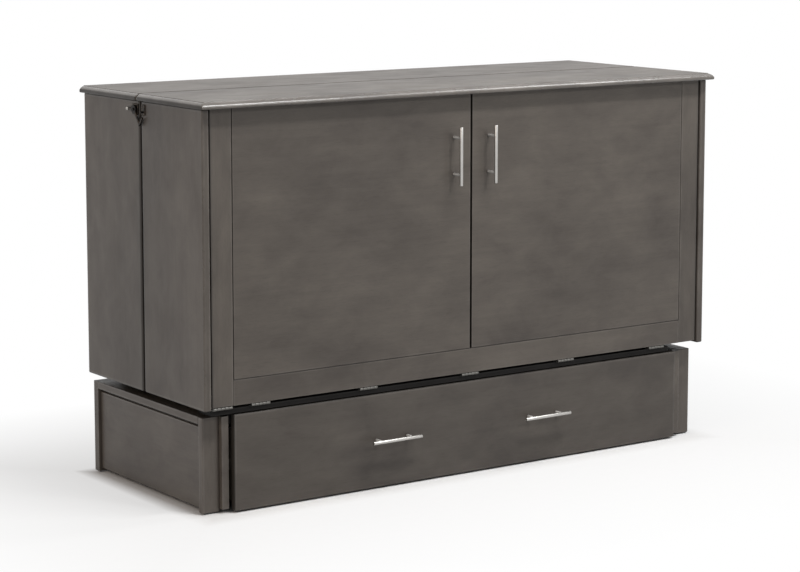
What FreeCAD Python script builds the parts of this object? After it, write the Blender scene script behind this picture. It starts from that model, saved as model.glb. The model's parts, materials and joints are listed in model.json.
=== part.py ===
"""Cabinet bed: a queen size bed that folds away into a low cabinet.

The cabinet is parted in two across its middle.  The rear half stays at the
wall.  The base rolls forward on four wheels with the front half and the
mattress on it, two slatted decks slide out after it, and then the front half
folds down on six hinges and becomes the foot of the bed.  A wide drawer runs
in the base.

Frame: X to the right, Y to the rear, Z up, in millimetres.  The origin is on
the floor, in the middle of the footprint with the door handles counted in.
"""

import FreeCAD
import Part
import Sketcher
import math
import os

DOC = FreeCAD.newDocument("cabinet_bed")
SHEET = DOC.addObject("Spreadsheet::Sheet", "sizes")

# Driving sizes: name, value in millimetres (angles in degrees), meaning.
SIZES = [
    ("body_width", 1624, "cabinet body across its side panels"),
    ("body_depth", 608, "cabinet body, front edge to back"),
    ("total_height", 1030, "floor to the top surface"),
    ("top_thickness", 18, "moulded top board"),
    ("top_quirk", 1.6, "height of the small step round the top surface"),
    ("top_quirk_inset", 5, "how far that step stands back from the edge"),
    ("top_nose", 6, "radius of the top board's nose"),
    ("side_overhang", 13, "top board past the side panels"),
    ("front_overhang", 20, "top board past the front edge"),
    ("base_gap", 22, "open gap between the base and the upper side panels"),
    ("side_thickness", 20, "upper side panels"),
    ("side_rounding", 2.5, "rounded long edges of visible boards"),
    ("front_part_depth", 301.5, "front half, front edge to the seam"),
    ("seam_gap", 9, "open seam between the two halves"),
    ("back_thickness", 18, "back panel"),
    ("back_bottom", 60, "underside of the back panel"),
    ("face_recess", 5, "face frame behind the side panels' front edges"),
    ("face_thickness", 20, "stiles, doors and bottom rail"),
    ("face_side_gap", 4, "groove between side panel and stile"),
    ("stile_width", 61, "corner stiles of the face"),
    ("door_gap", 3, "groove round the false doors"),
    ("door_centre_gap", 6, "gap between the two doors"),
    ("bottom_rail_height", 64, "rail under the doors"),
    ("cleat_thickness", 18, "battens across the back of the face"),
    ("cleat_height", 60, "those battens' height"),
    ("cleat_low", 360, "first batten above the floor"),
    ("cleat_top_room", 112, "last batten's middle below the top board"),
    ("foot_batten_inset", 4, "lowest batten above the bottom rail's underside"),
    ("foot_batten_height", 46, "lowest batten, behind the bottom rail"),
    ("knuckle_radius", 4, "hinge knuckle"),
    ("hinge_pin_radius", 2, "hinge pin"),
    ("hinge_play", 0.3, "knuckle below the face frame"),
    ("hinge_width", 54, "width of one hinge"),
    ("knuckle_gap", 0.2, "end play of one knuckle, each side"),
    ("leaf_gap", 0.6, "leaf plate behind the knuckles"),
    ("leaf_tongue", 2, "how far a knuckle's tongue laps its plate"),
    ("leaf_thickness", 2.3, "hinge leaf"),
    ("leaf_reach", 20, "upper leaf, from the axis backwards"),
    ("lower_leaf_reach", 52, "lower leaf, from the axis backwards"),
    ("pin_clearance", 0.05, "running clearance of pins in bores, on the radius"),
    ("corner_hinge_inset", 56, "the single hinge under the left stile, from the side"),
    ("outer_hinge_inset", 165, "outer pair of hinges, from the sides"),
    ("batten_lift", 6, "underside of the hinge batten above the base"),
    ("batten_thickness", 14, "hinge batten"),
    ("batten_depth", 60, "hinge batten, front to back"),
    ("batten_setback", 8, "front of the batten behind the axis"),
    ("batten_left_inset", 27, "batten's left end from the side"),
    ("batten_right_inset", 112, "batten's right end from the side"),
    ("base_inset_side", 14, "base inside the upper side panels"),
    ("base_inset_front", 39, "base stiles behind the front edge"),
    ("base_inset_rear", 2, "base inside the back"),
    ("base_height", 246, "top of the base"),
    ("base_lift", 3, "base stiles above the floor"),
    ("base_stile_width", 48, "front stiles of the base"),
    ("base_stile_depth", 20, "their thickness"),
    ("base_rear_stile_depth", 23, "rear stiles of the base"),
    ("rim_height", 19, "proud rim along the top of the base side"),
    ("base_panel_recess", 8, "side panel inside the rim"),
    ("base_panel_thickness", 20, "side panel of the base"),
    ("base_panel_lift", 12, "side panel above the floor"),
    ("panel_rebate_height", 5, "shadow groove under the rim"),
    ("panel_rebate_depth", 7, "that groove, into the panel"),
    ("guide_thickness", 20, "inner board that carries the drawer"),
    ("guide_proud", 13, "guide's front edge ahead of the stile"),
    ("guide_lift", 10, "guide above the floor"),
    ("front_rail_height", 30, "rail over the drawer"),
    ("front_rail_depth", 40, "that rail, front to back"),
    ("cross_rail_height", 27, "rails across the base"),
    ("cross_rail_depth", 60, "those rails, front to back"),
    ("cross_rail_drop", 3, "cross rails' top above the base's top"),
    ("cross_rail_first", 100, "first cross rail behind the front rail"),
    ("cross_rail_pitch", 210, "from cross rail to cross rail"),
    ("drawer_front_proud", 14, "drawer front ahead of the guides"),
    ("drawer_front_thickness", 18, "drawer front board"),
    ("drawer_front_bottom", 5, "drawer front above the floor"),
    ("drawer_front_rise", 4, "top of the drawer front above the base"),
    ("drawer_side_gap", 8.5, "gap beside the drawer front"),
    ("drawer_rear_gap", 44, "drawer box ahead of the rear legs"),
    ("drawer_box_bottom", 22, "underside of the drawer box"),
    ("drawer_head_room", 17, "drawer box below the front rail"),
    ("drawer_wall", 12, "drawer box walls"),
    ("drawer_floor", 6, "drawer bottom board"),
    ("drawer_groove", 10, "bottom board above the walls' underside"),
    ("runner_height", 42, "drawer runner members"),
    ("runner_middle_height", 34, "height of the middle member"),
    ("runner_inner_height", 26, "height of the inner member"),
    ("runner_centre", 115, "runner's middle above the floor"),
    ("runner_space", 18, "room for one runner beside the drawer box"),
    ("runner_member", 5.6, "thickness of one runner member"),
    ("runner_rear_gap", 28, "runner members' end ahead of the drawer's back"),
    ("runner_front_gap", 2, "runner members behind the drawer front"),
    ("rail_gap", 3, "front rail behind the drawer front"),
    ("wheel_radius", 20, "base wheels"),
    ("wheel_width", 13, "base wheels"),
    ("wheel_tread", 2.5, "rounding of the wheel's tread"),
    ("axle_radius", 4, "wheel axles"),
    ("axle_cover", 7, "panel left over the end of an axle"),
    ("wheel_setback", 90, "front axle behind the base's front"),
    ("wheel_rear_setback", 74, "rear axle ahead of the rear stile"),
    ("slat_thickness", 18, "fixed deck slats"),
    ("slat_width", 62, "deck slats, front to back"),
    ("slat_side_room", 80, "deck slats' ends from the side panels"),
    ("deck_seam_room", 11.5, "last deck slat ahead of the seam"),
    ("deck_start", 60, "first deck slat behind the front edge"),
    ("bearer_width", 44, "bearers under the deck slats"),
    ("bearer_inset", 2, "bearers inside the slats' ends"),
    ("bearer_past_seam", 1, "bearers' rear end behind the seam's front"),
    ("ledge_gap", 4, "head ledge behind the seam"),
    ("ledge_rear_room", 45.5, "last ledge slat ahead of the back panel"),
    ("ledge_cleat", 22, "cleats under the ledge's ends"),
    ("tray_side_gap", 24, "sliding decks inside the bearers"),
    ("tray_end_room", 22, "last slat of a sliding deck from its rear end"),
    ("tray_thickness", 18, "sliding decks"),
    ("tray_rail", 30, "side rails of the sliding decks"),
    ("tray_front", 84, "sliding decks' front behind the front edge"),
    ("tray_rear_gap", 2, "sliding decks ahead of the back panel"),
    ("tray_slat_drop", 2, "slats below the top of their rails"),
    ("tray_gap", 0.3, "running clearance between deck levels"),
    ("leg_side_gap", 8, "rear legs inside the drawer's guide boards"),
    ("leg_back_gap", 2, "rear legs ahead of the back panel"),
    ("leg_width", 58, "rear legs across"),
    ("leg_depth", 84, "rear legs, front to back"),
    ("leg_rail_height", 90, "rail between the rear legs"),
    ("leg_rail_bottom", 70, "that rail above the floor"),
    ("leg_rail_depth", 20, "that rail's thickness"),
    ("glide_height", 4, "glides under the rear legs"),
    ("glide_radius", 14, "glides under the rear legs"),
    ("handle_reach", 32, "handle's furthest point ahead of the front edge"),
    ("handle_radius", 5, "handle bar"),
    ("handle_length", 152, "handle bar"),
    ("handle_post_radius", 4, "handle posts"),
    ("handle_post_pitch", 96, "between the two posts of a handle"),
    ("door_handle_x", 56, "door handles from the middle"),
    ("door_handle_drop", 160, "middle of the door handles below the top board"),
    ("drawer_handle_x", 247.5, "drawer handles from the middle"),
    ("drawer_handle_rise", 1.5, "drawer handles above the drawer front's middle"),
    ("latch_drop", 23, "latch pivot below the top board"),
    ("latch_pivot_setback", 17, "latch pivot behind the seam"),
    ("latch_plate_length", 30, "latch plate, front to back"),
    ("latch_plate_height", 28, "latch plate"),
    ("latch_plate_thickness", 3, "latch and keeper plates"),
    ("latch_pivot_radius", 3, "latch pivot"),
    ("latch_pivot_proud", 2, "pivot and keeper pin past the lever"),
    ("latch_hub_radius", 11, "hub of the latch lever"),
    ("latch_lever_thickness", 5, "latch lever"),
    ("latch_arm_length", 32, "pivot to the ball"),
    ("latch_arm_width", 7, "arm of the latch lever"),
    ("latch_ball_radius", 5.4, "ball of the latch lever"),
    ("latch_hook_width", 6, "crescent of the latch"),
    ("latch_hook_start", 203, "leading end of the crescent, angle at rest"),
    ("latch_hook_sweep", 34, "length of the crescent, angle"),
    ("keeper_setback", 14, "keeper pin ahead of the seam"),
    ("keeper_drop", 5, "keeper pin below the latch pivot"),
    ("keeper_radius", 2.5, "keeper pin"),
    ("keeper_plate_length", 18, "keeper plate, front to back"),
    ("keeper_clearance", 0.6, "between keeper pin and crescent"),
    ("lever_clearance", 0.3, "between latch plate and lever"),
    ("mattress_side_room", 30, "between the mattress and each side panel"),
    ("mattress_head_room", 36, "folded mattress below the top board"),
    ("mattress_rear_room", 88, "folded mattress ahead of the back panel"),
    ("mattress_gap", 2, "between folded sections"),
    ("mattress_setback", 54, "mattress behind the front edge"),
    ("mattress_crown", 9, "swell of a section's broad faces"),
    ("mattress_pull", 7, "how far the sides pull in at mid height"),
    ("soft_clearance", 0.3, "soft parts above what carries them"),
]

for row, (alias, value, meaning) in enumerate(SIZES, start=1):
    SHEET.set(f"A{row}", alias.replace("_", " "))
    SHEET.set(f"B{row}", str(value))
    SHEET.set(f"C{row}", meaning)
    SHEET.setAlias(f"B{row}", alias)
DOC.recompute()


def size(alias):
    """Value of one driving size, as a float in millimetres or degrees."""
    return float(SHEET.get(alias))


def bound(text):
    """Write each size name in an expression as a reference to the sheet."""
    words = []
    name = ""
    for letter in text + " ":
        if letter.isalnum() or letter == "_":
            name += letter
            continue
        if name in NAMES:
            name = "sizes." + name
        words.append(name + letter)
        name = ""
    return "".join(words).strip()


NAMES = {alias for alias, value, meaning in SIZES}

# Planes that several pieces share, as expressions of the driving sizes.
FRONT = "(handle_reach / 2 - body_depth / 2)"
REAR = "(handle_reach / 2 + body_depth / 2)"
HALF = "(body_width / 2)"
SEAM_FRONT = f"({FRONT} + front_part_depth)"
SEAM_REAR = f"({SEAM_FRONT} + seam_gap)"
TOP_UNDER = "(total_height - top_thickness)"
SIDE_IN = f"({HALF} - side_thickness)"
BODY_BOTTOM = "(base_height + base_gap)"
BATTEN_BOTTOM = "(base_height + batten_lift)"
BATTEN_TOP = f"({BATTEN_BOTTOM} + batten_thickness)"
AXIS_Z = f"({BATTEN_TOP} + knuckle_radius)"
FACE_BOTTOM = f"({AXIS_Z} + knuckle_radius + hinge_play)"
FACE = f"({FRONT} + face_recess)"
FACE_BACK = f"({FACE} + face_thickness)"
FACE_HALF = f"({HALF} - side_thickness - face_side_gap)"
DOOR_EDGE = f"({FACE_HALF} - stile_width - door_gap)"
AXIS_Y = f"({FACE} + knuckle_radius)"
BASE_HALF = f"({HALF} - base_inset_side)"
BASE_FRONT = f"({FRONT} + base_inset_front)"
BASE_REAR = f"({REAR} - base_inset_rear)"
GUIDE_OUT = f"({BASE_HALF} - base_stile_width)"
GUIDE_IN = f"({GUIDE_OUT} - guide_thickness)"
GUIDE_FRONT = f"({BASE_FRONT} - guide_proud)"
DRAWER_FACE = f"({GUIDE_FRONT} - drawer_front_proud)"
DRAWER_BACK_OF_FRONT = f"({DRAWER_FACE} + drawer_front_thickness)"
BOX_HALF = f"({GUIDE_IN} - runner_space)"
RAIL_FRONT = f"({DRAWER_BACK_OF_FRONT} + rail_gap)"
CROSS_TOP = "(base_height + cross_rail_drop)"
LOWER_TRAY = f"({CROSS_TOP} + tray_gap)"
UPPER_TRAY = f"({LOWER_TRAY} + tray_thickness + tray_gap)"
SLAT_UNDER = f"({UPPER_TRAY} + tray_thickness + tray_gap)"
DECK_TOP = f"({SLAT_UNDER} + slat_thickness)"
SLAT_END = f"({SIDE_IN} - slat_side_room)"
BEARER_OUT = f"({SLAT_END} - bearer_inset)"
TRAY_SIDE = f"({BEARER_OUT} - bearer_width - tray_side_gap)"
BATTEN_FRONT = f"({AXIS_Y} + batten_setback)"
BACK_INNER = f"({REAR} - back_thickness)"
PANEL_OUT = f"({BASE_HALF} - base_panel_recess)"
AXLE_OUT = f"({PANEL_OUT} - axle_cover)"
WHEEL_FRONT_Y = f"({BASE_FRONT} + wheel_setback)"
WHEEL_REAR_Y = f"({BASE_REAR} - base_rear_stile_depth - wheel_rear_setback)"
LEG_REAR = f"({BACK_INNER} - leg_back_gap)"
LEG_OUT = f"({GUIDE_IN} - leg_side_gap)"
BOX_REAR = f"({LEG_REAR} - leg_depth - drawer_rear_gap)"
DRAWER_TOP = "(base_height + drawer_front_rise)"
DRAWER_BOX_TOP = f"({BATTEN_BOTTOM} - front_rail_height - drawer_head_room)"
LATCH_Z = f"({TOP_UNDER} - latch_drop)"


def place(thing, x_text, y_text, z_text):
    """Bind an object's position to expressions."""
    thing.setExpression(".Placement.Base.x", bound(x_text))
    thing.setExpression(".Placement.Base.y", bound(y_text))
    thing.setExpression(".Placement.Base.z", bound(z_text))


NODES = []


def keep(thing, label):
    """Name a finished sub-part and put it on the list of pieces to write."""
    thing.Label = label
    NODES.append(thing)
    return thing


def box(name, across, along, upward):
    """Plain board between pairs of expressions along X, Y and Z."""
    board = DOC.addObject("Part::Box", name)
    board.setExpression("Length", bound(f"{across[1]} - ({across[0]})"))
    board.setExpression("Width", bound(f"{along[1]} - ({along[0]})"))
    board.setExpression("Height", bound(f"{upward[1]} - ({upward[0]})"))
    place(board, across[0], along[0], upward[0])
    return board


def mirrored_pair(side, inner, outer):
    """X range of a piece on the left (side -1) or right (side 1)."""
    if side < 0:
        return (f"-({outer})", f"-({inner})")
    return (inner, outer)


def rod(name, axis, radius, start, end, across):
    """Round bar along an axis from start to end, centred on two expressions."""
    bar = DOC.addObject("Part::Cylinder", name)
    bar.setExpression("Radius", bound(radius))
    bar.setExpression("Height", bound(f"{end} - ({start})"))
    turns = {
        "x": FreeCAD.Rotation(FreeCAD.Vector(0, 1, 0), 90),
        "y": FreeCAD.Rotation(FreeCAD.Vector(1, 0, 0), -90),
        "z": FreeCAD.Rotation(),
    }
    bar.Placement = FreeCAD.Placement(FreeCAD.Vector(0, 0, 0), turns[axis])
    starts = {
        "x": (start, across[0], across[1]),
        "y": (across[0], start, across[1]),
        "z": (across[0], across[1], start),
    }
    place(bar, *starts[axis])
    return bar


def cut(name, base, tools):
    """Take tools away from a base solid, one after another."""
    shape = base
    for index, tool in enumerate(tools):
        step = DOC.addObject("Part::Cut", f"{name}_cut{index}")
        step.Base = shape
        step.Tool = tool
        shape = step
    return shape


def fuse(name, parts):
    """Join touching solids into one."""
    joined = DOC.addObject("Part::MultiFuse", name)
    joined.Shapes = parts
    return joined


def group(name, parts):
    """Keep several separate solids in one object."""
    together = DOC.addObject("Part::Compound", name)
    together.Links = parts
    return together


def rectangle(sketch, left, right, low, high):
    """Closed rectangle in a sketch, its four sides bound to expressions."""
    points = [(-1, -1), (1, -1), (1, 1), (-1, 1)]
    for index, (u_start, v_start) in enumerate(points):
        u_end, v_end = points[(index + 1) % 4]
        sketch.addGeometry(
            Part.LineSegment(
                FreeCAD.Vector(u_start, v_start, 0), FreeCAD.Vector(u_end, v_end, 0)
            ),
            False,
        )
    constraint = Sketcher.Constraint
    for index in range(4):
        sketch.addConstraint(constraint("Coincident", index, 2, (index + 1) % 4, 1))
    sketch.addConstraint(constraint("Horizontal", 0))
    sketch.addConstraint(constraint("Horizontal", 2))
    sketch.addConstraint(constraint("Vertical", 1))
    sketch.addConstraint(constraint("Vertical", 3))
    bounds = [
        ("left", "DistanceX", 0, 1, left),
        ("low", "DistanceY", 0, 1, low),
        ("right", "DistanceX", 2, 1, right),
        ("high", "DistanceY", 2, 1, high),
    ]
    for name, kind, line, end, text in bounds:
        number = sketch.addConstraint(constraint(kind, line, end, 1.0))
        sketch.renameConstraint(number, name)
        sketch.setExpression(f".Constraints.{name}", bound(text))


def origin_plane(body, role):
    """The body's own origin plane with the given role."""
    for feature in body.Origin.OriginFeatures:
        if feature.Role == role:
            return feature
    raise ValueError(role)


def rounded_board(name, across, along, upward, radius, choose):
    """Board whose chosen edges are rounded: a padded sketch and a fillet.

    choose takes an edge's middle and direction with the board's box and says
    whether that edge is rounded.
    """
    body = DOC.addObject("PartDesign::Body", name)
    sketch = body.newObject("Sketcher::SketchObject", name + "_outline")
    sketch.AttachmentSupport = [(origin_plane(body, "XY_Plane"), "")]
    sketch.MapMode = "FlatFace"
    rectangle(sketch, across[0], across[1], along[0], along[1])
    pad = body.newObject("PartDesign::Pad", name + "_board")
    pad.Profile = sketch
    pad.setExpression("Length", bound(f"{upward[1]} - ({upward[0]})"))
    body.setExpression(".Placement.Base.z", bound(upward[0]))
    DOC.recompute()
    soften(body, pad, name, radius, choose)
    return body


def soften(body, feature, name, radius, choose):
    """Round the chosen edges of a body's last feature."""
    limits = feature.Shape.BoundBox
    edges = []
    for index, edge in enumerate(feature.Shape.Edges, start=1):
        along = edge.tangentAt(edge.FirstParameter)
        if choose(edge.CenterOfMass, along, limits):
            edges.append(f"Edge{index}")
    fillet = body.newObject("PartDesign::Fillet", name + "_rounding")
    fillet.Base = (feature, edges)
    fillet.setExpression("Radius", bound(radius))
    DOC.recompute()


def near(first, second):
    """Whether two lengths are the same to a hundredth of a millimetre."""
    return abs(first - second) < 0.01


def upright(middle, along, limits):
    """Edges that stand upright."""
    return abs(along.z) > 0.99


def upright_front(middle, along, limits):
    """Upright edges of the front face."""
    return abs(along.z) > 0.99 and near(middle.y, limits.YMin)


def front_rim(middle, along, limits):
    """All four edges of the front face."""
    return near(middle.y, limits.YMin)


def moulded_top(name, along, rounded_end):
    """Top board with a nose round its outer edges and a small step above it.

    rounded_end is "front" for the front half and "none" for the rear half,
    whose other end is square against the wall.
    """
    across = (f"-({HALF} + side_overhang)", f"{HALF} + side_overhang")
    body = DOC.addObject("PartDesign::Body", name)
    lower = body.newObject("Sketcher::SketchObject", name + "_outline")
    lower.AttachmentSupport = [(origin_plane(body, "XY_Plane"), "")]
    lower.MapMode = "FlatFace"
    rectangle(lower, across[0], across[1], along[0], along[1])
    board = body.newObject("PartDesign::Pad", name + "_board")
    board.Profile = lower
    board.setExpression("Length", bound("top_thickness - top_quirk"))
    DOC.recompute()

    def nose_edge(middle, direction, limits):
        """Long outer edges, above and below."""
        if abs(direction.z) > 0.5:
            return False
        side = near(abs(middle.x), limits.XMax)
        return side or (rounded_end == "front" and near(middle.y, limits.YMin))

    soften(body, board, name, "top_nose", nose_edge)
    upper = body.newObject("Sketcher::SketchObject", name + "_step_outline")
    upper.AttachmentSupport = [(origin_plane(body, "XY_Plane"), "")]
    upper.MapMode = "FlatFace"
    upper.setExpression(".AttachmentOffset.Base.z", bound("top_thickness - 2 * top_quirk"))
    step_front = f"{along[0]} + top_quirk_inset" if rounded_end == "front" else along[0]
    rectangle(
        upper,
        f"{across[0]} + top_quirk_inset",
        f"{across[1]} - top_quirk_inset",
        step_front,
        along[1],
    )
    step = body.newObject("PartDesign::Pad", name + "_step")
    step.Profile = upper
    step.setExpression("Length", bound("2 * top_quirk"))
    body.Tip = step
    body.setExpression(".Placement.Base.z", bound(TOP_UNDER))
    DOC.recompute()
    return body


# Upper cabinet -------------------------------------------------------------

def build_rear_half():
    """Rear half at the wall: top, sides, back, ledge, legs."""
    keep(moulded_top("rear_top", (SEAM_REAR, REAR), "none"), "rear_top")
    for side, word in ((-1, "left"), (1, "right")):
        panel = rounded_board(
            "rear_side_" + word,
            mirrored_pair(side, f"{HALF} - side_thickness", HALF),
            (SEAM_REAR, REAR),
            (BODY_BOTTOM, TOP_UNDER),
            "side_rounding",
            upright_front,
        )
        keep(panel, "rear_side_" + word)
    inner = SIDE_IN
    back = box(
        "back_panel",
        (f"-({inner})", inner),
        (BACK_INNER, REAR),
        (BODY_BOTTOM, TOP_UNDER),
    )
    keep(back, "back_panel")
    cleats = []
    for side, word in ((-1, "left"), (1, "right")):
        cleats.append(
            box(
                "ledge_cleat_" + word,
                mirrored_pair(side, f"{inner} - ledge_cleat", inner),
                (f"{SEAM_REAR} + ledge_gap", BACK_INNER),
                (BODY_BOTTOM, SLAT_UNDER),
            )
        )
    keep(group("ledge_cleats", cleats), "ledge_cleats")
    slats = []
    for index in range(3):
        first = f"({SEAM_REAR} + ledge_gap)"
        pitch = f"({BACK_INNER} - ledge_rear_room - slat_width - {first}) / 2"
        start = f"{first} + {index} * {pitch}"
        slats.append(
            box(
                f"ledge_slat_{index}",
                (f"-({inner})", inner),
                (start, f"{start} + slat_width"),
                (SLAT_UNDER, DECK_TOP),
            )
        )
    keep(group("head_ledge_slats", slats), "head_ledge_slats")
    build_rear_legs(inner)


def build_rear_legs(inner):
    """Two legs inside the base's sides, the rail between them and glides."""
    legs = []
    glides = []
    leg_rear = LEG_REAR
    for side, word in ((-1, "left"), (1, "right")):
        span = mirrored_pair(side, f"{LEG_OUT} - leg_width", LEG_OUT)
        legs.append(
            box(
                "rear_leg_" + word,
                span,
                (f"{leg_rear} - leg_depth", leg_rear),
                ("glide_height", SLAT_UNDER),
            )
        )
        glides.append(
            rod(
                "glide_" + word,
                "z",
                "glide_radius",
                "0",
                "glide_height",
                (f"{side} * ({LEG_OUT} - leg_width / 2)", f"{leg_rear} - leg_depth / 2"),
            )
        )
    keep(group("rear_legs", legs), "rear_legs")
    keep(group("leg_glides", glides), "leg_glides")
    rail = box(
        "leg_rail",
        (f"-({LEG_OUT} - leg_width)", f"{LEG_OUT} - leg_width"),
        (f"{leg_rear} - leg_rail_depth", leg_rear),
        ("leg_rail_bottom", "leg_rail_bottom + leg_rail_height"),
    )
    keep(rail, "leg_rail")


def build_front_half():
    """Front half that folds down: top, sides, stiles, doors, rail, battens."""
    top_front = f"{FRONT} - front_overhang"
    keep(moulded_top("front_top", (top_front, SEAM_FRONT), "front"), "front_top")
    for side, word in ((-1, "left"), (1, "right")):
        panel = rounded_board(
            "front_side_" + word,
            mirrored_pair(side, f"{HALF} - side_thickness", HALF),
            (FRONT, SEAM_FRONT),
            (BODY_BOTTOM, TOP_UNDER),
            "side_rounding",
            upright,
        )
        keep(panel, "front_side_" + word)
        stile = rounded_board(
            "corner_stile_" + word,
            mirrored_pair(side, f"{FACE_HALF} - stile_width", FACE_HALF),
            (FACE, FACE_BACK),
            (FACE_BOTTOM, TOP_UNDER),
            "side_rounding / 2",
            upright_front,
        )
        keep(stile, "corner_stile_" + word)
        door = rounded_board(
            "false_door_" + word,
            mirrored_pair(side, "door_centre_gap / 2", DOOR_EDGE),
            (FACE, FACE_BACK),
            (f"{FACE_BOTTOM} + bottom_rail_height + door_gap", TOP_UNDER),
            "side_rounding",
            front_rim,
        )
        keep(door, "false_door_" + word)
    rail = rounded_board(
        "bottom_rail",
        (f"-({DOOR_EDGE} + door_gap)", f"{DOOR_EDGE} + door_gap"),
        (FACE, FACE_BACK),
        (FACE_BOTTOM, f"{FACE_BOTTOM} + bottom_rail_height"),
        "side_rounding / 2",
        front_rim,
    )
    keep(rail, "bottom_rail")
    battens = []
    for index in range(3):
        rise = f"({TOP_UNDER} - cleat_top_room - cleat_low) / 2"
        low = f"cleat_low + {index} * {rise} - cleat_height / 2"
        battens.append(
            box(
                f"face_batten_{index}",
                (f"-({HALF} - side_thickness)", f"{HALF} - side_thickness"),
                (FACE_BACK, f"{FACE_BACK} + cleat_thickness"),
                (low, f"{low} + cleat_height"),
            )
        )
    battens.append(
        box(
            "foot_batten",
            (f"-({FACE_HALF})", FACE_HALF),
            (FACE_BACK, f"{FACE_BACK} + cleat_thickness"),
            (
                f"{FACE_BOTTOM} + foot_batten_inset",
                f"{FACE_BOTTOM} + foot_batten_inset + foot_batten_height",
            ),
        )
    )
    keep(group("face_battens", battens), "face_battens")


def bar_handle(name, axis, centre, face):
    """Bar handle on two posts, standing off a face that looks to the front."""
    x_text, z_text = centre
    bar_y = f"{FRONT} - handle_reach + handle_radius" if face == FACE else (
        f"{face} - handle_reach + handle_radius"
    )
    if axis == "z":
        start = f"{z_text} - handle_length / 2"
        bar = rod(name + "_bar", "z", "handle_radius", start, f"{start} + handle_length",
                  (x_text, bar_y))
    else:
        start = f"{x_text} - handle_length / 2"
        bar = rod(name + "_bar", "x", "handle_radius", start, f"{start} + handle_length",
                  (bar_y, z_text))
    posts = [bar]
    for side in (-1, 1):
        offset = f"{side} * handle_post_pitch / 2"
        where = (x_text, f"{z_text} + {offset}")
        if axis == "x":
            where = (f"{x_text} + {offset}", z_text)
        posts.append(
            rod(f"{name}_post{side + 1}", "y", "handle_post_radius", bar_y, face, where)
        )
    return fuse(name, posts)


def build_handles():
    """Four bar handles: upright on the doors, level on the drawer."""
    for side, word in ((-1, "left"), (1, "right")):
        keep(
            bar_handle(
                "door_handle_" + word,
                "z",
                (f"{side} * door_handle_x", f"{TOP_UNDER} - door_handle_drop"),
                FACE,
            ),
            "door_handle_" + word,
        )
        keep(
            bar_handle(
                "drawer_handle_" + word,
                "x",
                (
                    f"{side} * drawer_handle_x",
                    f"(drawer_front_bottom + {DRAWER_TOP}) / 2 + drawer_handle_rise",
                ),
                DRAWER_FACE,
            ),
            "drawer_handle_" + word,
        )


# Hinges ---------------------------------------------------------------------

HINGE_PLACES = [
    f"(corner_hinge_inset - {HALF})",
    f"(outer_hinge_inset - {HALF})",
    f"(outer_hinge_inset - {HALF}) / 2",
    "0",
    f"({HALF} - outer_hinge_inset) / 2",
    f"({HALF} - outer_hinge_inset)",
]


def build_hinges():
    """Six butt hinges whose knuckles lie under the front edge of the face."""
    upper = []
    lower = []
    pins = []
    for index, centre in enumerate(HINGE_PLACES):
        upper.append(hinge_leaf(f"upper_leaf_{index}", centre, True))
        lower.append(hinge_leaf(f"lower_leaf_{index}", centre, False))
        pins.append(
            rod(
                f"hinge_pin_{index}",
                "x",
                "hinge_pin_radius",
                f"{centre} - hinge_width / 2",
                f"{centre} + hinge_width / 2",
                (AXIS_Y, AXIS_Z),
            )
        )
    keep(group("hinge_upper_leaves", upper), "hinge_upper_leaves")
    keep(group("hinge_lower_leaves", lower), "hinge_lower_leaves")
    keep(group("hinge_pins", pins), "hinge_pins")


def hinge_leaf(name, centre, is_upper):
    """One leaf: a plate with its share of the five knuckles, bored for the pin.

    The upper leaf has knuckles 2 and 4 and the lower leaf 1, 3 and 5.
    """
    knuckle = "hinge_width / 5"
    turns = (1, 3) if is_upper else (0, 2, 4)
    parts = []
    gap = "knuckle_gap"
    if is_upper:
        level = (f"{FACE_BOTTOM} - leaf_thickness", FACE_BOTTOM)
        reach = "leaf_reach"
    else:
        level = (BATTEN_TOP, f"{BATTEN_TOP} + leaf_thickness")
        reach = "lower_leaf_reach"
    start = f"{centre} - hinge_width / 2"
    end = f"{centre} + hinge_width / 2"
    parts.append(
        box(name + "_plate", (start, end), (f"{AXIS_Y} + knuckle_radius + leaf_gap",
            f"{AXIS_Y} + {reach}"), level)
    )
    for turn in turns:
        low = f"{start} + {turn} * {knuckle} + {gap}"
        high = f"{start} + {turn + 1} * {knuckle} - {gap}"
        parts.append(
            rod(f"{name}_knuckle{turn}", "x", "knuckle_radius", low, high,
                (AXIS_Y, AXIS_Z))
        )
        parts.append(
            box(f"{name}_tongue{turn}", (low, high),
                (AXIS_Y, f"{AXIS_Y} + knuckle_radius + leaf_gap + leaf_tongue"), level)
        )
    solid = fuse(name + "_solid", parts)
    bore = rod(name + "_bore", "x", "hinge_pin_radius + pin_clearance",
               f"{start} - leaf_gap", f"{end} + leaf_gap", (AXIS_Y, AXIS_Z))
    return cut(name, solid, [bore])


# Base -----------------------------------------------------------------------

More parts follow.
